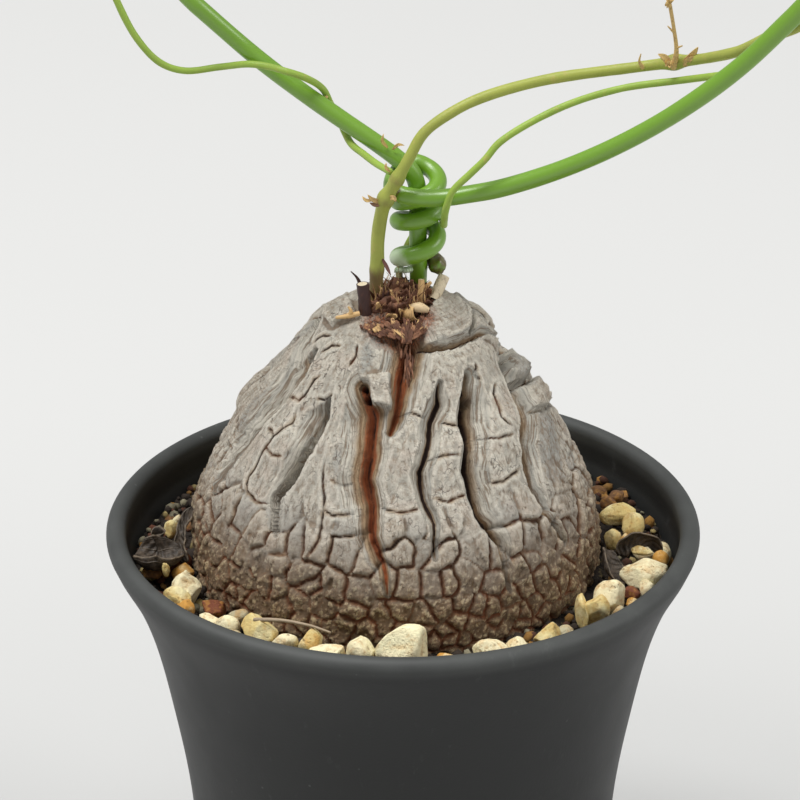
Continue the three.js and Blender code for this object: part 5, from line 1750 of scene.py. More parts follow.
def funnel_shreds(fibres, draw):
    """Brown flakes and fibres between the crown's front rim and the head of the front split."""
    for _ in range(FUNNEL_SHREDS):
        start = (blend(*FUNNEL_TURN, next(draw)), blend(*FUNNEL_TOP, next(draw)))
        route = on_skin([start, (FUNNEL_END[0] + 3 * next(draw), FUNNEL_END[1])], 0.5)
        first = int(next(draw) * 0.5 * (len(route) - 4))
        last = min(len(route) - 1, first + int(blend(3, 8, next(draw))))
        aside = np.array([next(draw) - 0.5, 0, 0]) * 1.2
        lift = np.array([0, -0.2, blend(0, 0.5, next(draw))])
        middle = (route[first] + route[last]) / 2 + 1.2 * lift
        half, torn = blend(*SHRED_HALF, next(draw) ** 2), 0.8 * next(draw)
        path = [route[first] + lift, middle + 0.5 * aside, route[last] + 0.4 * lift + aside]
        tint = blend(0.02, 0.8, next(draw) ** 1.8)
        add_scale(fibres, path, half, SHRED_THICKNESS, torn, tint=tint, tone=next(draw))


def spilled_shreds(fibres, draw):
    """Fine fibres that lie along the bottom of the front split, below the crown."""
    places = on_skin(SPILL_LINE, 0.4)
    for _ in range(SPILL_SHREDS):
        share = next(draw)
        place = places[int(share * (len(places) - 3))]
        reach = blend(SPILL_HALF, 0.4, share)
        start = place + np.array([blend(-reach, reach, next(draw)), 0.6, -blend(1.6, 2.8, next(draw))])
        down = np.array([blend(-0.3, 0.4, next(draw)), -1.1, -1.2]) * blend(0.8, 2.0, next(draw))
        path = [start, start + down * 0.5 + (0, -0.2, 0.25), start + down]
        half, tint = blend(*FINE_SHRED_HALF, next(draw)), blend(0.1, 0.5, next(draw))
        add_scale(fibres, path, half, FINE_SHRED_THICKNESS, tint=tint, tone=next(draw))


def add_stub(stubs, path, radii, tint, broken):
    """A stub with its broken end, which is pale wood or a dark hollow."""
    points = catmull(path, STUB_STEP)
    corners, faces = tube(points, graded(radii, len(points)), STUB_SIDES, ends=False)
    uneven = 1 + STUB_UNEVEN[0] * rough(corners, *STUB_UNEVEN[1:])
    core = points.repeat(STUB_SIDES, 0)
    corners = core + (corners - core) * uneven[:, None]
    stubs.add(corners, faces[:2], tint=tint, cut=0.0)
    end = corners[-STUB_SIDES:]
    middle, along = end.mean(0), unit(points[-1] - points[-2])
    depth = HOLLOW * radii[-1] if 0 < broken < 1 else 0.0
    rim = middle + (end - middle) * STUB_RIM
    floor = middle + (end - middle) * STUB_FLOOR - along * depth
    lid = closed_faces(3, STUB_SIDES)
    cut = np.repeat([0.0, broken, broken], STUB_SIDES)
    stubs.add(np.vstack([end, rim, floor]), [lid[0], lid[2]], tint=tint, cut=cut)


class BuildCrown(bpy.types.Operator):
    """Build the fibrous crown with its cut and dried stubs"""

    bl_idname = "plant.build_crown"
    bl_label = "Crown"

    def execute(self, context):
        crown = context.scene.tortoise_plant.crown
        draw = draws(CROWN_SEED)
        fibres = Heap("tint", "tone")
        crown_heart(fibres)
        crown_strands(fibres, draw, crown.strands)
        crown_flakes(fibres, draw)
        funnel_shreds(fibres, draw)
        spilled_shreds(fibres, draw)
        fibres.piece("crown_fibres", crown_finish(crown), "crown_fibre", "crown")
        stubs = Heap("tint", "cut")
        for path, radii, tint, broken in STUBS:
            add_stub(stubs, path, radii, tint, broken)
        stubs.piece("crown_stubs", stub_finish(crown), "crown_fibre")
        return {"FINISHED"}


# Support wire


RING = {"centre": 8, "height": 249, "radius": 72.5, "from": -40, "to": 230}
RING_TURN = 20
RING_STEPS = 200
WIRE_STEP = 0.8
KNOT = (1.3, 0)
STAKE = (2.5, 3.1)

# The wound end as (turn in degrees, height, distance from the stake)
WINDING = [
    (0, 150.1, 3.35), (180, 151.6, 3.35), (360, 155.6, 3.35), (540, 158.4, 3.35), (720, 161, 3.35),
    (900, 161.9, 3.35), (1080, 165.4, 3.4), (1170, 167.5, 3.7), (1260, 165.9, 4.2),
]
WINDING_STEP = 9
RIGHT_ARM = [
    (-1.4, -1.2, 165.3), (2.5, -3.3, 165), (6.4, -3.6, 165.1), (11.2, -4.1, 166), (16.1, -5.7, 167.6),
    (25.8, -9.2, 172.2), (35.2, -12.6, 177.9), (44.4, -16, 184.9), (53.3, -19.2, 193.3),
]
LEFT_ARM = [
    (-27, 13.3, 186), (-22.9, 11.8, 183), (-16.8, 9.6, 179), (-10.7, 7.4, 175.3), (-4.6, 5.2, 171.7),
    (-0.9, 3.8, 169.3), (1.4, 3.2, 167.2), (2.4, 3.1, 164.4),
]
STAKE_ROUTE = [
    (2.5, 3.1, 158), (2.6, 3.2, 150), (2.6, 3.9, 146.8), (2.4, 6.4, 143.8), (1.6, 11, 141.4),
    (0.8, 16.4, 138.2), (0, 22.4, 132.8), (-0.6, 28, 126.4), (-1, 32, 120.6), (-1.2, 35.6, 114),
    (-1.4, 38.4, 106.8), (-1.4, 39.8, 99), (-1.4, 39.8, 90), (-1.4, 37.4, 76), (-1.4, 33.6, 58),
]


def ring_place(degrees):
    """A place on the ring, and the ways out from its middle and to its back."""
    turn, angle = math.radians(RING_TURN), math.radians(degrees)
    along = np.array([math.cos(turn), -math.sin(turn), 0])
    back = np.array([math.sin(turn), math.cos(turn), 0])
    out = along * math.cos(angle) + np.array([0, 0, math.sin(angle)])
    centre = np.array([*KNOT, RING["height"]]) + along * RING["centre"]
    return centre + out * RING["radius"], out, back


def winding_points():
    turns, heights, distances = zip(*WINDING)
    marks = np.arange(0, turns[-1] + 1, WINDING_STEP)
    out = np.interp(marks, turns, distances)
    angle = np.radians(marks)
    x, y = STAKE[0] + out * np.cos(angle), STAKE[1] + out * np.sin(angle)
    return list(np.stack([x, y, np.interp(marks, turns, heights)], 1))


def wire_path():
    winding = winding_points()
    degrees = np.linspace(RING["from"], RING["to"], RING_STEPS)
    ring = [ring_place(angle)[0] for angle in degrees]
    right = catmull([winding[-5], winding[-1], *RIGHT_ARM, ring[0]], WIRE_STEP)
    left = catmull([ring[-1], *LEFT_ARM, STAKE_ROUTE[0]], WIRE_STEP)
    stake = catmull(STAKE_ROUTE, WIRE_STEP)
    return [*winding[:-5], *right[:-1], *ring, *left[1:-1], *stake]


def wire_finish(wire):
    skin = Shader("wire_coating")
    cloud = skin.noise(6, 3)
    worn = skin.value("worn")
    scratch = skin.mask(skin.noise(0.5, 3, (1, 1, 0.3), 0.7), 0.7, 0.8) * skin.mask(cloud, 0.5, 0.6)
    colour = skin.mix(cloud * 0.35, wire.coating, toned(wire.coating, 0.7))
    white = skin.mask(worn + skin.noise(1, 3) * 0.3, 0.55, 0.95)
    colour = skin.mix(white * 0.8 + scratch * 0.25, colour, wire.worn)
    brown = skin.mask(skin.value("stain") + skin.noise(0.7, 3) * 0.5, 0.8, 1.05)
    colour = skin.mix(brown, colour, wire.stain)
    relief = skin.noise(1.2, 3) * 0.5 + scratch * 0.3
    roughness = 0.31 + cloud * 0.1 + scratch * 0.2
    return skin.finish(colour, roughness, relief, 0.06, uniform={"Specular IOR Level": 1.0})


# Worn and stained spots on the wire: place, reach and strength
WORN_SPOTS = [((-0.9, 0.6, 151.4), 3.4, 1.0), ((-0.6, 1.4, 161.4), 2.2, 0.45), ((-11, 7.4, 175.4), 1.2, 0.6)]
STAIN_SPOTS = [((-1.2, -2.6, 165.6), 1.5, 1.0), ((1, -4.6, 166.4), 0.9, 0.7), ((5.8, 3.6, 150), 2.8, 1.0),
               ((2.3, -0.6, 157), 0.8, 0.5)]

WIRE_SIDES = 24
WIRE_UNEVEN = (0.03, 7, 3)
STAIN_LUMP = (0.4, 0.9, 2)
STAIN_SEEDS = (33, 34, 35)

# Torn flakes of the coating under the lowest turn
TORN_PLACE = (0.3, 0.4, 151)
TORN_FLAKES = 14
TORN_SEED = 77
TORN_HALF = 0.36
TORN_THICKNESS = 0.08
TORN_TIP = 0.6


def spot_strength(corners, listed):
    """Strength of some round spots at each corner."""
    value = np.zeros(len(corners))
    for place, reach, strength in listed:
        apart = np.linalg.norm(corners - np.array(place), axis=1)
        value = np.maximum(value, strength * np.clip(1.4 - apart / reach, 0, 1))
    return value


class BuildWire(bpy.types.Operator):
    """Build the coated wire: its stake, the ring and the wound end"""

    bl_idname = "plant.build_wire"
    bl_label = "Wire support"

    def execute(self, context):
        wire = context.scene.tortoise_plant.wire
        points = np.array(wire_path())
        radius = wire.radius / MM * (1 + WIRE_UNEVEN[0] * rough(points, *WIRE_UNEVEN[1:]))
        corners, faces = tube(points, radius, WIRE_SIDES)
        worn, stain = spot_strength(corners, WORN_SPOTS), spot_strength(corners, STAIN_SPOTS)
        height, size, octaves = STAIN_LUMP
        lumps = np.stack([rough(corners, size, seed, octaves) for seed in STAIN_SEEDS], 1)
        corners = corners + height * lumps * stain[:, None]
        shape = Heap("worn", "stain")
        shape.add(corners, faces, worn=worn, stain=stain)
        draw = draws(TORN_SEED)
        for _ in range(TORN_FLAKES):
            foot = np.array(TORN_PLACE) + [blend(-1.5, 1.5, next(draw)), blend(-0.5, 0.5, next(draw)), 0]
            tip = foot + [blend(-0.4, 0.4, next(draw)), -0.2, -blend(0.5, 1.1, next(draw))]
            path = [foot, (foot + tip) / 2 + (0, -0.2, 0), tip]
            add_scale(shape, path, TORN_HALF, TORN_THICKNESS, TORN_TIP, worn=1.0)
        shape.piece("wire_ring", wire_finish(wire), "wire_coating", "support_wire")
        return {"FINISHED"}


# Shoots


MAIN_SHOOT = [
    (-4.5, -0.9, 145.2), (-4.6, -1, 148.4), (-4.4, -1.5, 152.7), (-4.3, -2, 156.9), (-3.7, -2.8, 161.7),
    (-2.9, -3.9, 165.1), (-1, -5, 169), (1, -4.9, 172.7), (3.4, -4, 176.7), (8.5, -3, 180.3),
    (13.5, -2, 182.4), (23.5, 0, 184.6), (38.3, 0, 186.8), (45.4, -3, 188.8), (49.8, -7, 190.8),
    (54, -12.5, 193.8),
]
LEFT_SHOOT = [
    (-2.25, -3.5, 169.75), (-4.6, -0.2, 170), (-6.6, 3, 170.4), (-8.7, 6.2, 171), (-9.9, 9, 172.1),
    (-11.1, 10.7, 174.3), (-12.3, 11, 176.5), (-13.6, 10.2, 179.5), (-16.7, 7, 182.7), (-19.8, 6.9, 183.8),
    (-22.8, 8.8, 184), (-25.9, 10, 184), (-31.1, 13, 182.5), (-37.2, 12.5, 182), (-41.2, 12, 183.6),
    (-45.1, 12, 188.1), (-48.8, 13, 195.7), (-52.4, 16, 204), (-55.4, 19.4, 212), (-56.1, 20.8, 218),
]
THIN_SHOOT = [
    (-0.4, 3.6, 145.2), (-0.6, 6.8, 148), (1.4, 9.4, 152.6), (4.6, 9.4, 156.6), (6.5, 6.6, 158.9),
    (6.7, 3.4, 158.4), (6.9, -0.2, 158.9), (6.9, -4.4, 161.8), (7.2, -6.5, 164.6), (8.2, -7, 167.6),
    (11.1, -6.8, 170.6), (13.5, -6.8, 173.1), (16, -6, 175.9), (25.8, -4, 181.1), (35.7, -2.5, 183.9),
    (45.5, -4.6, 186.1), (51, -9.6, 188.6),
]
TWINE_TURN = 38
WIRE_ROOM = 0.35
CLIMB = {"from": -45, "phase": 90}
SPRAY_BREAK = 0.4

# Swellings on the shoots: place, reach along the shoot and how much thicker
NODES = [((-2.9, -3.9, 165.1), 1.5, 0.42), ((-1, -5, 169), 1.3, 0.3), ((44.4, -2.7, 188.4), 1.6, 0.5),
         ((-4.45, -1.3, 151), 1.2, 0.12)]

# The shoots turn brown between these heights
SHOOT_FOOT = (155, 149.4)

# The main shoot slims between these heights, to this share of its radius
SLIMMING = (158, 178)
SLIM_SHARE = 0.8
SHOOT_UNEVEN = (0.05, 3, 7, 2)
SHOOT_SIDES = 16
SHOOT_STEP = 0.6
CLIMB_STEP = 3.6

# Dried bracts and bud scales: foot, middle, tip, widest half width and tint
BRACTS = [
    ([(-3.6, -4.4, 164.6), (-5.2, -5, 165.4), (-5.9, -5, 166.2)], 0.42, 0.6),
    ([(-3.6, -4.6, 164.4), (-4.8, -5, 164.4), (-5.6, -5, 164.8)], 0.36, 0.3),
    ([(-5.2, -4.9, 165.2), (-6.2, -5, 165.2), (-6.8, -5, 165.9)], 0.3, 0.8),
    ([(-2.2, -4.9, 170.2), (-2.9, -5.2, 171.2), (-2.8, -5.2, 171.9)], 0.28, 0.8),
    ([(-2.6, 2.9, 171.6), (-3.5, 2.5, 173), (-3.3, 2.4, 174.2)], 0.3, 0.95),
    ([(-1.8, 2.6, 171.4), (-0.8, 2.3, 172.4), (0.2, 2.2, 172.3)], 0.28, 0.95),
    ([(-2.4, -5.2, 165.6), (-1.6, -5.8, 166), (-1.2, -5.8, 165.3)], 0.42, 0.75),
    ([(-3.5, -2.4, 153.6), (-2.8, -3, 152.4), (-2.1, -3.6, 151.1)], 0.32, 0.15),
    ([(-12.8, 9.8, 178.4), (-14, 8.8, 177.6), (-14.4, 8.6, 176.8)], 0.35, 0.6),
    ([(43.6, -4.2, 188.6), (42.6, -5, 190.2), (41.6, -5.2, 190.8)], 0.6, 0.8),
    ([(45.8, -4.2, 188.8), (47, -5, 190.4), (48, -5.4, 192)], 0.6, 0.85),
    ([(46, -4.4, 188.4), (46.6, -5.2, 189.8), (47.6, -5.6, 190.4)], 0.5, 0.7),
]

# The dried flower stalk that stands on the right node, with its twigs: path and radii
FLOWER_STALK = [
    ([(44.3, -3.8, 188.2), (44.6, -4.4, 191), (44, -4.6, 195), (43.2, -4.6, 199)], (0.6, 0.34, 0.3, 0.32)),
    ([(44.1, -4.6, 194.2), (43, -4.8, 195.4)], (0.22, 0.1)),
    ([(44.5, -4.6, 191.6), (45.4, -5.2, 192.2)], (0.2, 0.12)),
    ([(39.4, -1.2, 187.2), (38.8, -2, 188.6), (39, -2.2, 189.8)], (0.4, 0.22, 0.1)),
]
STALK_SEED = 9
STALK_SIDES = 8
STALK_STEP = 0.35
STALK_TINT = 0.7
TUFT_HALF = 0.22

# Tufts of dry scales: place, reach, count and tint
TUFTS = [((43.2, -4.6, 199.2), 0.9, 12, 0.75), ((43.4, -5, 188.8), 0.9, 10, 0.8),
         ((42.4, -4.6, 189.6), 0.7, 8, 0.45)]


def twined_place(degrees, start, phase, radius):
    side = math.radians(phase - abs(degrees - start) / TWINE_TURN * FULL_TURN)
    point, out, back = ring_place(degrees)
    away = out * math.cos(side) + back * math.sin(side)
    return point + away * (WIRE_RADIUS + radius + WIRE_ROOM), away, out


def twined(start, end, phase, radius, step=1.2):
    count = max(3, round(abs(end - start) / step))
    marks = np.linspace(start, end, count + 1)
    return [twined_place(degrees, start, phase, radius)[0] for degrees in marks]


def shoot_finish(shoot, name, base):
    skin = Shader(name)
    streak = skin.noise(0.6, 4, (1, 1, 0.25), 0.6)
    cloud = skin.noise(7, 3)
    blotch = skin.noise(2.4, 4, (1, 1, 0.6), 0.7)
    colour = skin.mix(skin.mask(cloud, 0.35, 0.7) * 0.45, base, toned(base, 0.66))
    colour = skin.mix(skin.mask(streak, 0.5, 0.68) * 0.3, colour, shoot.olive)
    colour = skin.mix(skin.mask(blotch + (streak - 0.5) * 0.4, 0.56, 0.72) * 0.32, colour, shoot.bract)
    brown = skin.mask(skin.value("brown") + streak * 0.4, 0.5, 1)
    colour = skin.mix(brown * 0.75, colour, shoot.bud)
    return skin.finish(colour, 0.42 + cloud * 0.12, streak, 0.08, uniform={"Specular IOR Level": 0.4})


def bract_finish(shoot):
    skin = Shader("dry_bract")
    tint = skin.value("tint")
    streak = skin.noise(0.4, 4, roughness=0.7)
    pale = toned(shoot.bract, 1.35)
    base = skin.mix(skin.mask(tint, 0.2, 0.55), shoot.bud, shoot.bract)
    base = skin.mix(skin.mask(tint, 0.6, 0.85), base, pale)
    colour = skin.mix(skin.mask(streak, 0.5, 0.35) * 0.5, base, shoot.bud)
    return skin.finish(colour, 0.7, streak, 0.1)


def add_shoot(heap, points, radius, slim):
    """A shoot as a tube that slims on its way up, swells at its nodes and browns at its foot."""
    slimming = blend(1, slim, smooth(points[:, 2], *SLIMMING))
    radii = radius * slimming * (1 + SHOOT_UNEVEN[0] * rough(points, *SHOOT_UNEVEN[1:]))
    brown = np.zeros(len(points))
    for place, reach, swell in NODES:
        apart = np.linalg.norm(points - np.array(place), axis=1)
        near = ridge(apart, reach)
        radii *= 1 + swell * near
        brown = np.maximum(brown, 0.5 * near)
    brown = np.maximum(brown, 0.8 * smooth(points[:, 2], *SHOOT_FOOT))
    corners, faces = tube(points, radii, SHOOT_SIDES)
    heap.add(corners, faces, brown=np.repeat(np.pad(brown, len(ROUND_END), "edge"), SHOOT_SIDES))


class BuildShoots(bpy.types.Operator):
    """Build the three shoots below the ring, their nodes and dried bracts"""

    bl_idname = "plant.build_shoots"
    bl_label = "Shoots"

    def execute(self, context):
        shoot = context.scene.tortoise_plant.shoot
        thick, thin = shoot.main / MM, shoot.side / MM
        climb_end = SPRAYS[0]["from"] - SPRAY_BREAK
        climb = twined(CLIMB["from"], climb_end, CLIMB["phase"], thick, CLIMB_STEP)
        olive = shoot_finish(shoot, "shoot_olive", shoot.olive)
        green = shoot_finish(shoot, "shoot_green", shoot.green)
        listed = [
            ("main_shoot", [*MAIN_SHOOT, *climb], thick, SLIM_SHARE, olive),
            ("left_shoot", LEFT_SHOOT, thin, 1, green),
            ("thin_shoot", THIN_SHOOT, thin, 1, green),
        ]
        for name, route, radius, slim, material in listed:
            heap = Heap("brown")
            add_shoot(heap, catmull(route, SHOOT_STEP), radius, slim)
            heap.piece(name + "_stem", material, "shoot_green", name)
        dry = Heap("tint")
        for path, half, tint in BRACTS:
            add_scale(dry, path, half, tint=tint)
        dry.piece("shoot_bracts", bract_finish(shoot), "litter")
        return {"FINISHED"}


class BuildFlowerStalk(bpy.types.Operator):
    """Build the dried flower stalk on the right node"""

    bl_idname = "plant.build_flower_stalk"
    bl_label = "Dried flower stalk"

    def execute(self, context):
        shoot = context.scene.tortoise_plant.shoot
        dry = Heap("tint")
        for path, radii in FLOWER_STALK:
            points = catmull(path, STALK_STEP)
            corners, faces = tube(points, graded(radii, len(points)), STALK_SIDES)
            dry.add(corners, faces, tint=STALK_TINT)
        draw = draws(STALK_SEED)
        for place, reach, count, tint in TUFTS:
            for _ in range(count):
                way = np.array([next(draw) - 0.5, next(draw) - 0.5, next(draw) - 0.2])
                tip = np.array(place) + unit(way) * reach * blend(0.6, 1.2, next(draw))
                middle = (np.array(place) + tip) / 2 + (0, 0, 0.15)
                add_scale(dry, [place, middle, tip], TUFT_HALF, tint=tint)
        dry.piece("flower_stalk", bract_finish(shoot), "litter")
        return {"FINISHED"}


# Leafy shoots on the ring


SPRAYS = [
    {"name": "leafy_shoot_right_low", "from": -17, "to": 20.6, "phase": 175, "radius": 1, "seed": 3},
    {"name": "leafy_shoot_right_high", "from": 21, "to": 58.6, "phase": 175, "radius": 0.9, "seed": 14},
    {"name": "leafy_shoot_top", "from": 59, "to": 96.6, "phase": 175, "radius": 0.8, "seed": 25},
    {"name": "leafy_shoot_left_low", "from": 203, "to": 165.4, "phase": 0, "radius": 0.8, "seed": 36},
    {"name": "leafy_shoot_left_high", "from": 165, "to": 127.4, "phase": 0, "radius": 0.7, "seed": 47},
    {"name": "leafy_shoot_left_tip", "from": 127, "to": 106, "phase": 0, "radius": 0.6, "seed": 58},
]
LEAF_SIDES = (-75, 10, 85)
STALK_LENGTH = 8
STALK_RADIUS = 0.5
LEAF_HALF = [(0.12, -0.14), (0.34, -0.15), (0.49, 0.06), (0.45, 0.34), (0.24, 0.64), (0.02, 1)]
LEAF_RIB = (0, 0.06, 0.2, 0.42, 0.7, 1)
LEAF_FOLD = 0.18
LEAF_DROOP = 0.12
LEAF_LENGTHS = (20, 27)
LEAF_ROWS = 26
LEAF_ACROSS = 17
LEAF_WAVES = 0.02
SPRAY_SIDES = 12
LEAF_STALK_SIDES = 8


def leaf_surface(length):
    """A heart-shaped blade: corners row by row, with each corner's share across and along it."""
    outline = catmull([(x, y, rib) for (x, y), rib in zip(LEAF_HALF, LEAF_RIB)], 0.02)
    outline = even(outline, 1.0 / LEAF_ROWS)
    rows, across, along = [], [], []
    shares = np.linspace(-1, 1, LEAF_ACROSS)
    for edge_x, edge_y, rib in outline:
        x = shares * edge_x
        y = rib + np.abs(shares) ** 1.6 * (edge_y - rib)
        fold = LEAF_FOLD * np.abs(x) - LEAF_DROOP * rib * rib
        ripple = LEAF_WAVES * np.sin(9 * rib + 3 * shares) * np.abs(shares) ** 3
        rows.append(np.stack([x, y, fold + ripple], 1) * length)
        across.append(shares)
        along.append(np.full(LEAF_ACROSS, rib))
    return np.vstack(rows), len(outline), np.concatenate(across), np.concatenate(along)


def add_leaf(heap, length, thickness, basis, origin, tone):
    corners, rows, across, along = leaf_surface(length)
    lower = corners - (0, 0, thickness)
    upper, lower = corners @ basis + origin, lower @ basis + origin
    add_blade(heap, upper, lower, rows, LEAF_ACROSS, across=across, along=along, tone=tone, stem=0.0)


def leaf_on_stalk(heap, foot, away, out, draw, thickness):
    """A leaf as the solid model places it: its stalk leaves outwards and the blade hangs from its end."""
    down = np.array([0, 0, -1.0])
    heading = unit(away + 0.5 * out + 0.25 * down)
    tip = foot + heading * STALK_LENGTH
    length = blend(*LEAF_LENGTHS, next(draw))
    along = unit(heading + down * (0.7 + 0.3 * next(draw)))
    face = np.array([0.3 * (next(draw) - 0.5), 0.3 * (next(draw) - 0.5), 1]) + 0.8 * heading
    across = unit(np.cross(along, face))
    front = unit(np.cross(across, along))
    bend = (foot + tip) / 2 + (0, 0, 0.7)
    stalk = catmull([foot, bend, tip, tip + along * 0.8], 0.7)
    corners, faces = tube(stalk, STALK_RADIUS, LEAF_STALK_SIDES)
    heap.add(corners, faces, stem=1.0, tone=0.5)
    add_leaf(heap, length, thickness, np.array([across, along, front]), tip, next(draw))


def leaf_finish(leaf, shoot):
    skin = Shader("leaf_green")
    across, along, tone = skin.value("across"), skin.value("along"), skin.value("tone")
    spread = skin.absolute(across)
    near = skin.maths("PINGPONG", spread * 3, 0.5)
    ribs = skin.mask(near, 0.09, 0.03)
    fine = skin.mask(skin.cells(1.5), 0.6, 0.8) * 0.35
    cloud = skin.noise(6, 3)
    blade = skin.mix(cloud * 0.5 + tone * 0.3, leaf.green, leaf.under)
    blade = skin.mix(skin.most(ribs * 0.85, fine), blade, leaf.vein)
    colour = skin.mix(skin.value("stem"), blade, shoot.green)
    relief = ribs * -1.0 + skin.noise(0.8, 3) * 0.4 + along * 0.05
    return skin.finish(colour, 0.42 + cloud * 0.14, relief, 0.25)


class BuildLeafyShoots(bpy.types.Operator):
    """Build the lengths of shoot that twine on the ring, with their leaves"""

    bl_idname = "plant.build_leafy_shoots"
    bl_label = "Leafy shoots"

    def execute(self, context):
        plant = context.scene.tortoise_plant
        material = leaf_finish(plant.leaf, plant.shoot)
        for spray in SPRAYS:
            start, end, phase, radius = spray["from"], spray["to"], spray["phase"], spray["radius"]
            draw = draws(spray["seed"])
            heap = Heap("across", "along", "tone", "stem")
            points = twined(start, end, phase, radius)
            corners, faces = tube(points, radius, SPRAY_SIDES)
            heap.add(corners, faces, stem=1.0, tone=0.5)
            for side in LEAF_SIDES:
                turned = (phase - side) % FULL_TURN
                degrees = start + math.copysign(1, end - start) * turned / FULL_TURN * TWINE_TURN
                if abs(degrees - start) > abs(end - start):
                    continue
                foot, away, out = twined_place(degrees, start, phase, radius)
                leaf_on_stalk(heap, foot, away, out, draw, plant.leaf.thickness / MM)
            heap.piece(spray["name"] + "_leaves", material, "leaf_green", spray["name"])
        return {"FINISHED"}


# Litter


# Fallen leaves: the fold along the middle of each, the side that it opens to, its half width, and how
# far round its sides roll, in radians
DRY_LEAVES = [
    {"name": "dry_leaf_left", "opens": (0.05, -0.15, 1), "half": 7, "roll": 1.8,
     "fold": [(-46.8, -9, 100.6), (-43, -9.8, 98.9), (-38.6, -8.4, 100.8)]},
    {"name": "dry_leaf_right", "opens": (-0.1, -1, -0.2), "half": 1.8, "roll": 1.0,
     "fold": [(38.6, -6.4, 98.8), (39, -6, 100.6), (41, -5.6, 102), (43.8, -5.4, 101.4), (45.2, -6, 98.9)]},
    {"name": "dry_leaf_right_low", "opens": (0.75, -0.3, 0.6), "half": 3, "roll": 1.35,
     "fold": [(35.4, -9.6, 101.8), (35.6, -11.8, 99.6), (36.8, -13.4, 98.2), (39, -14, 97.9)]},
    {"name": "dry_leaf_scrap", "opens": (-0.5, -0.8, 0.2), "half": 1.3, "roll": 1.3,
     "fold": [(-38.4, -8.4, 98.6), (-38.9, -6, 101.4), (-38.3, -3.4, 104.4), (-37.2, -2.6, 106.4)]},
]
DRY_THICKNESS = 0.3
DRY_STALK = [(-24.8, -32.8, 100.8), (-20.4, -34.8, 101.8), (-15.6, -36.2, 101.6), (-12.2, -37.6, 101.1)]
DRY_STALK_RADIUS = 0.32
DRY_STALK_SIDES = 10
SCRAP = "dry_leaf_scrap"
DRY_ACROSS = 25
DRY_STEP = 0.3
DRY_CRUMPLE = (0.35, 1.8, 23, 2)
DRY_EDGE = (0.08, 1.6, 17, 2)


def litter_finish(leaf):
    skin = Shader("dry_leaf")
    across, along = skin.value("across"), skin.value("along")
    spread = skin.absolute(across)
    cloud = skin.noise(1.4, 4, roughness=0.68)
    edge = skin.mask(spread + (cloud - 0.5) * 0.14, 0.95, 1.02)
    veins = skin.mask(skin.maths("PINGPONG", spread * 2.4, 0.5), 0.07, 0.02)
    colour = skin.mix(skin.mask(cloud, 0.36, 0.64), toned(leaf.dry, 0.36), leaf.dry)
    colour = skin.mix(skin.most(edge * 0.36, veins * 0.16), colour, leaf.dry_edge)
    colour = skin.mix(skin.value("stem"), colour, leaf.dry_edge)
    relief = cloud + skin.sine(along * 40 + across * 8) * 0.2 + veins * 0.4
    return skin.finish(colour, 0.6, relief, 0.4)


def add_rolled_leaf(heap, fallen):
    """A dry leaf whose sides roll up round its fold."""
    points = catmull(fallen["fold"], DRY_STEP)
    share = np.linspace(0, 1, len(points))
    outline = np.sin(np.pi * np.clip(0.1 + 0.88 * share, 0, 1)) ** 0.65
    width = fallen["half"] * outline * (1 + DRY_EDGE[0] * rough(points, *DRY_EDGE[1:]))
    ahead = unit(np.gradient(points, axis=0))
    side = unit(np.cross(ahead, fallen["opens"]))
    up = np.cross(side, ahead)
    across = np.linspace(-1, 1, DRY_ACROSS)
    curl = fallen["roll"] * (0.3 + 0.7 * outline)
    angle = curl[:, None] * across
    radius = width / curl
    flat, rise = radius[:, None] * np.sin(angle), radius[:, None] * (1 - np.cos(angle))
    upper = points[:, None, :] + side[:, None, :] * flat[..., None] + up[:, None, :] * rise[..., None]
    normal = side[:, None, :] * -np.sin(angle)[..., None] + up[:, None, :] * np.cos(angle)[..., None]
    upper = upper + normal * (DRY_CRUMPLE[0] * rough(upper, *DRY_CRUMPLE[1:]))[..., None]
    lower = (upper - normal * DRY_THICKNESS).reshape(-1, 3)
    add_blade(heap, upper.reshape(-1, 3), lower, len(points), DRY_ACROSS,
              across=np.tile(across, len(points)), along=np.repeat(share, DRY_ACROSS))


class BuildLitter(bpy.types.Operator):
    """Build the fallen leaves and the dry stalk on the grit"""

    bl_idname = "plant.build_litter"
    bl_label = "Litter"

    def execute(self, context):
        material = litter_finish(context.scene.tortoise_plant.leaf)
        for fallen in DRY_LEAVES:
            heap = Heap("across", "along", "stem")
            add_rolled_leaf(heap, fallen)
            nodes = [] if fallen["name"] == SCRAP else [fallen["name"]]
            heap.piece(fallen["name"] + "_blade", material, "litter", *nodes)
        stalk = Heap("across", "along", "stem")
        points = catmull(DRY_STALK, 0.5)
        radii = DRY_STALK_RADIUS * np.linspace(1.2, 0.6, len(points))
        corners, faces = tube(points, radii, DRY_STALK_SIDES)
        stalk.add(corners, faces, stem=1.0)
        stalk.piece("dry_stalk_stem", material, "litter", "dry_stalk")
        return {"FINISHED"}


# Stage


CAMERA_PLACE = (-0.54, -461.5, 341.7)
CAMERA_DOWN = 25.04
CAMERA_LENS = 131.7
CAMERA_SENSOR = 36
FLOOR_HALF = 3.0
FLOOR_DROP = 0.0002
FLOOR_SHADE = (-60, 300)
LIT_PLACE = (0, 0, 0.12)
KEY_PLACE = (-1.0, -0.2, 3.2)
KEY_SIZE = 1.8
FILL_PLACE = (2.4, -0.6, 1.8)
FILL_SIZE = 1.4


def soft_light(name, place, size, power):
    data = bpy.data.lights.new(name, "AREA")
    data.shape = "DISK"
    data.size = size
    data.energy = power
    light = bpy.data.objects.new(name, data)
    light.location = place
    way = Vector(LIT_PLACE) - Vector(place)
    light.rotation_euler = way.to_track_quat("-Z", "Y").to_euler()
    bpy.context.scene.collection.objects.link(light)


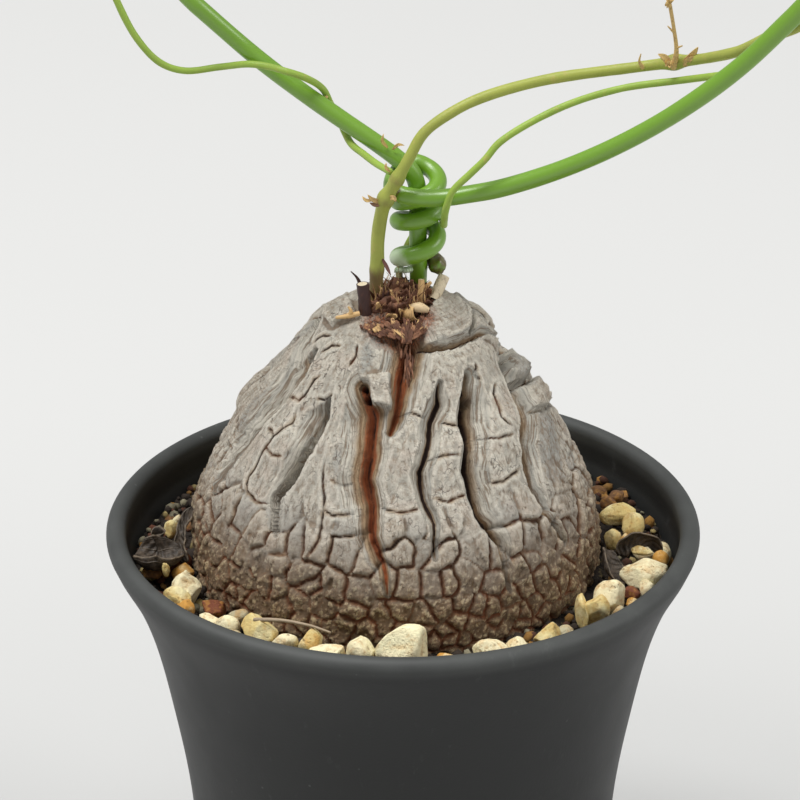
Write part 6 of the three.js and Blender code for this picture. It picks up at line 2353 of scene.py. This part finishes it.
def plain_floor(stage):
    """A plain pale floor, a little darker towards the camera as painted shade for the light's falloff."""
    bpy.ops.mesh.primitive_plane_add(size=2 * FLOOR_HALF, location=(0, 0, -FLOOR_DROP))
    floor = bpy.context.object
    floor.name = "floor"
    skin = Shader("floor_paper")
    ahead = skin.node("ShaderNodeSeparateXYZ", inputs={0: skin.place()}, output="Y")
    # Painted shade: the floor is darkened towards the camera to stand in for the light's falloff.
    paper = skin.mix(skin.mask(ahead, *FLOOR_SHADE), toned(stage.floor, 0.86), stage.floor)
    floor.data.materials.append(skin.finish(paper, 0.9))


def even_light(strength):
    world = bpy.data.worlds.new("studio")
    world.use_nodes = True
    background = world.node_tree.nodes["Background"].inputs
    background["Color"].default_value = (1, 1, 1, 1)
    background["Strength"].default_value = strength
    return world


def photo_camera():
    data = bpy.data.cameras.new("camera")
    data.sensor_width = CAMERA_SENSOR
    data.lens = CAMERA_LENS
    camera = bpy.data.objects.new("camera", data)
    camera.location = [value * MM for value in CAMERA_PLACE]
    camera.rotation_euler = (math.radians(90 - CAMERA_DOWN), 0, 0)
    bpy.context.scene.collection.objects.link(camera)
    return camera


class BuildStage(bpy.types.Operator):
    """Build the plain floor, the soft lights and the camera"""

    bl_idname = "plant.build_stage"
    bl_label = "Stage"

    def execute(self, context):
        stage = context.scene.tortoise_plant.stage
        plain_floor(stage)
        context.scene.world = even_light(stage.sky)
        soft_light("key", KEY_PLACE, KEY_SIZE, stage.key)
        soft_light("fill", FILL_PLACE, FILL_SIZE, stage.fill)
        context.scene.camera = photo_camera()
        context.scene.view_settings.view_transform = "Standard"
        return {"FINISHED"}


class PlantPanel(bpy.types.Panel):
    """Buttons that build the plant piece by piece"""

    bl_idname = "VIEW3D_PT_tortoise_plant"
    bl_label = "Potted tortoise plant"
    bl_space_type = "VIEW_3D"
    bl_region_type = "UI"
    bl_category = "Plant"

    def draw(self, context):
        plant = context.scene.tortoise_plant
        for operator in OPERATORS:
            self.layout.operator(operator.bl_idname)
        for group in ("pot", "mix", "bark", "crown", "wire", "shoot", "leaf", "stage"):
            box = self.layout.box()
            settings = getattr(plant, group)
            for name in settings.__annotations__:
                box.prop(settings, name)


GROUPS = (
    PotSettings, MixSettings, BarkSettings, CrownSettings, WireSettings, ShootSettings, LeafSettings,
    StageSettings, PlantSettings,
)
OPERATORS = (
    BuildStage, BuildPot, BuildMix, BuildTuber, BuildCrown, BuildWire, BuildShoots, BuildFlowerStalk,
    BuildLeafyShoots, BuildLitter,
)
CLASSES = (*GROUPS, *OPERATORS, PlantPanel)


def register():
    for each in CLASSES:
        bpy.utils.register_class(each)
    bpy.types.Scene.tortoise_plant = PointerProperty(type=PlantSettings)


def unregister():
    del bpy.types.Scene.tortoise_plant
    for each in reversed(CLASSES):
        bpy.utils.unregister_class(each)


def main():
    register()
    for operator in OPERATORS:
        family, name = operator.bl_idname.split(".")
        getattr(getattr(bpy.ops, family), name)()
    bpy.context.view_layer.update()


if __name__ == "__main__":
    main()
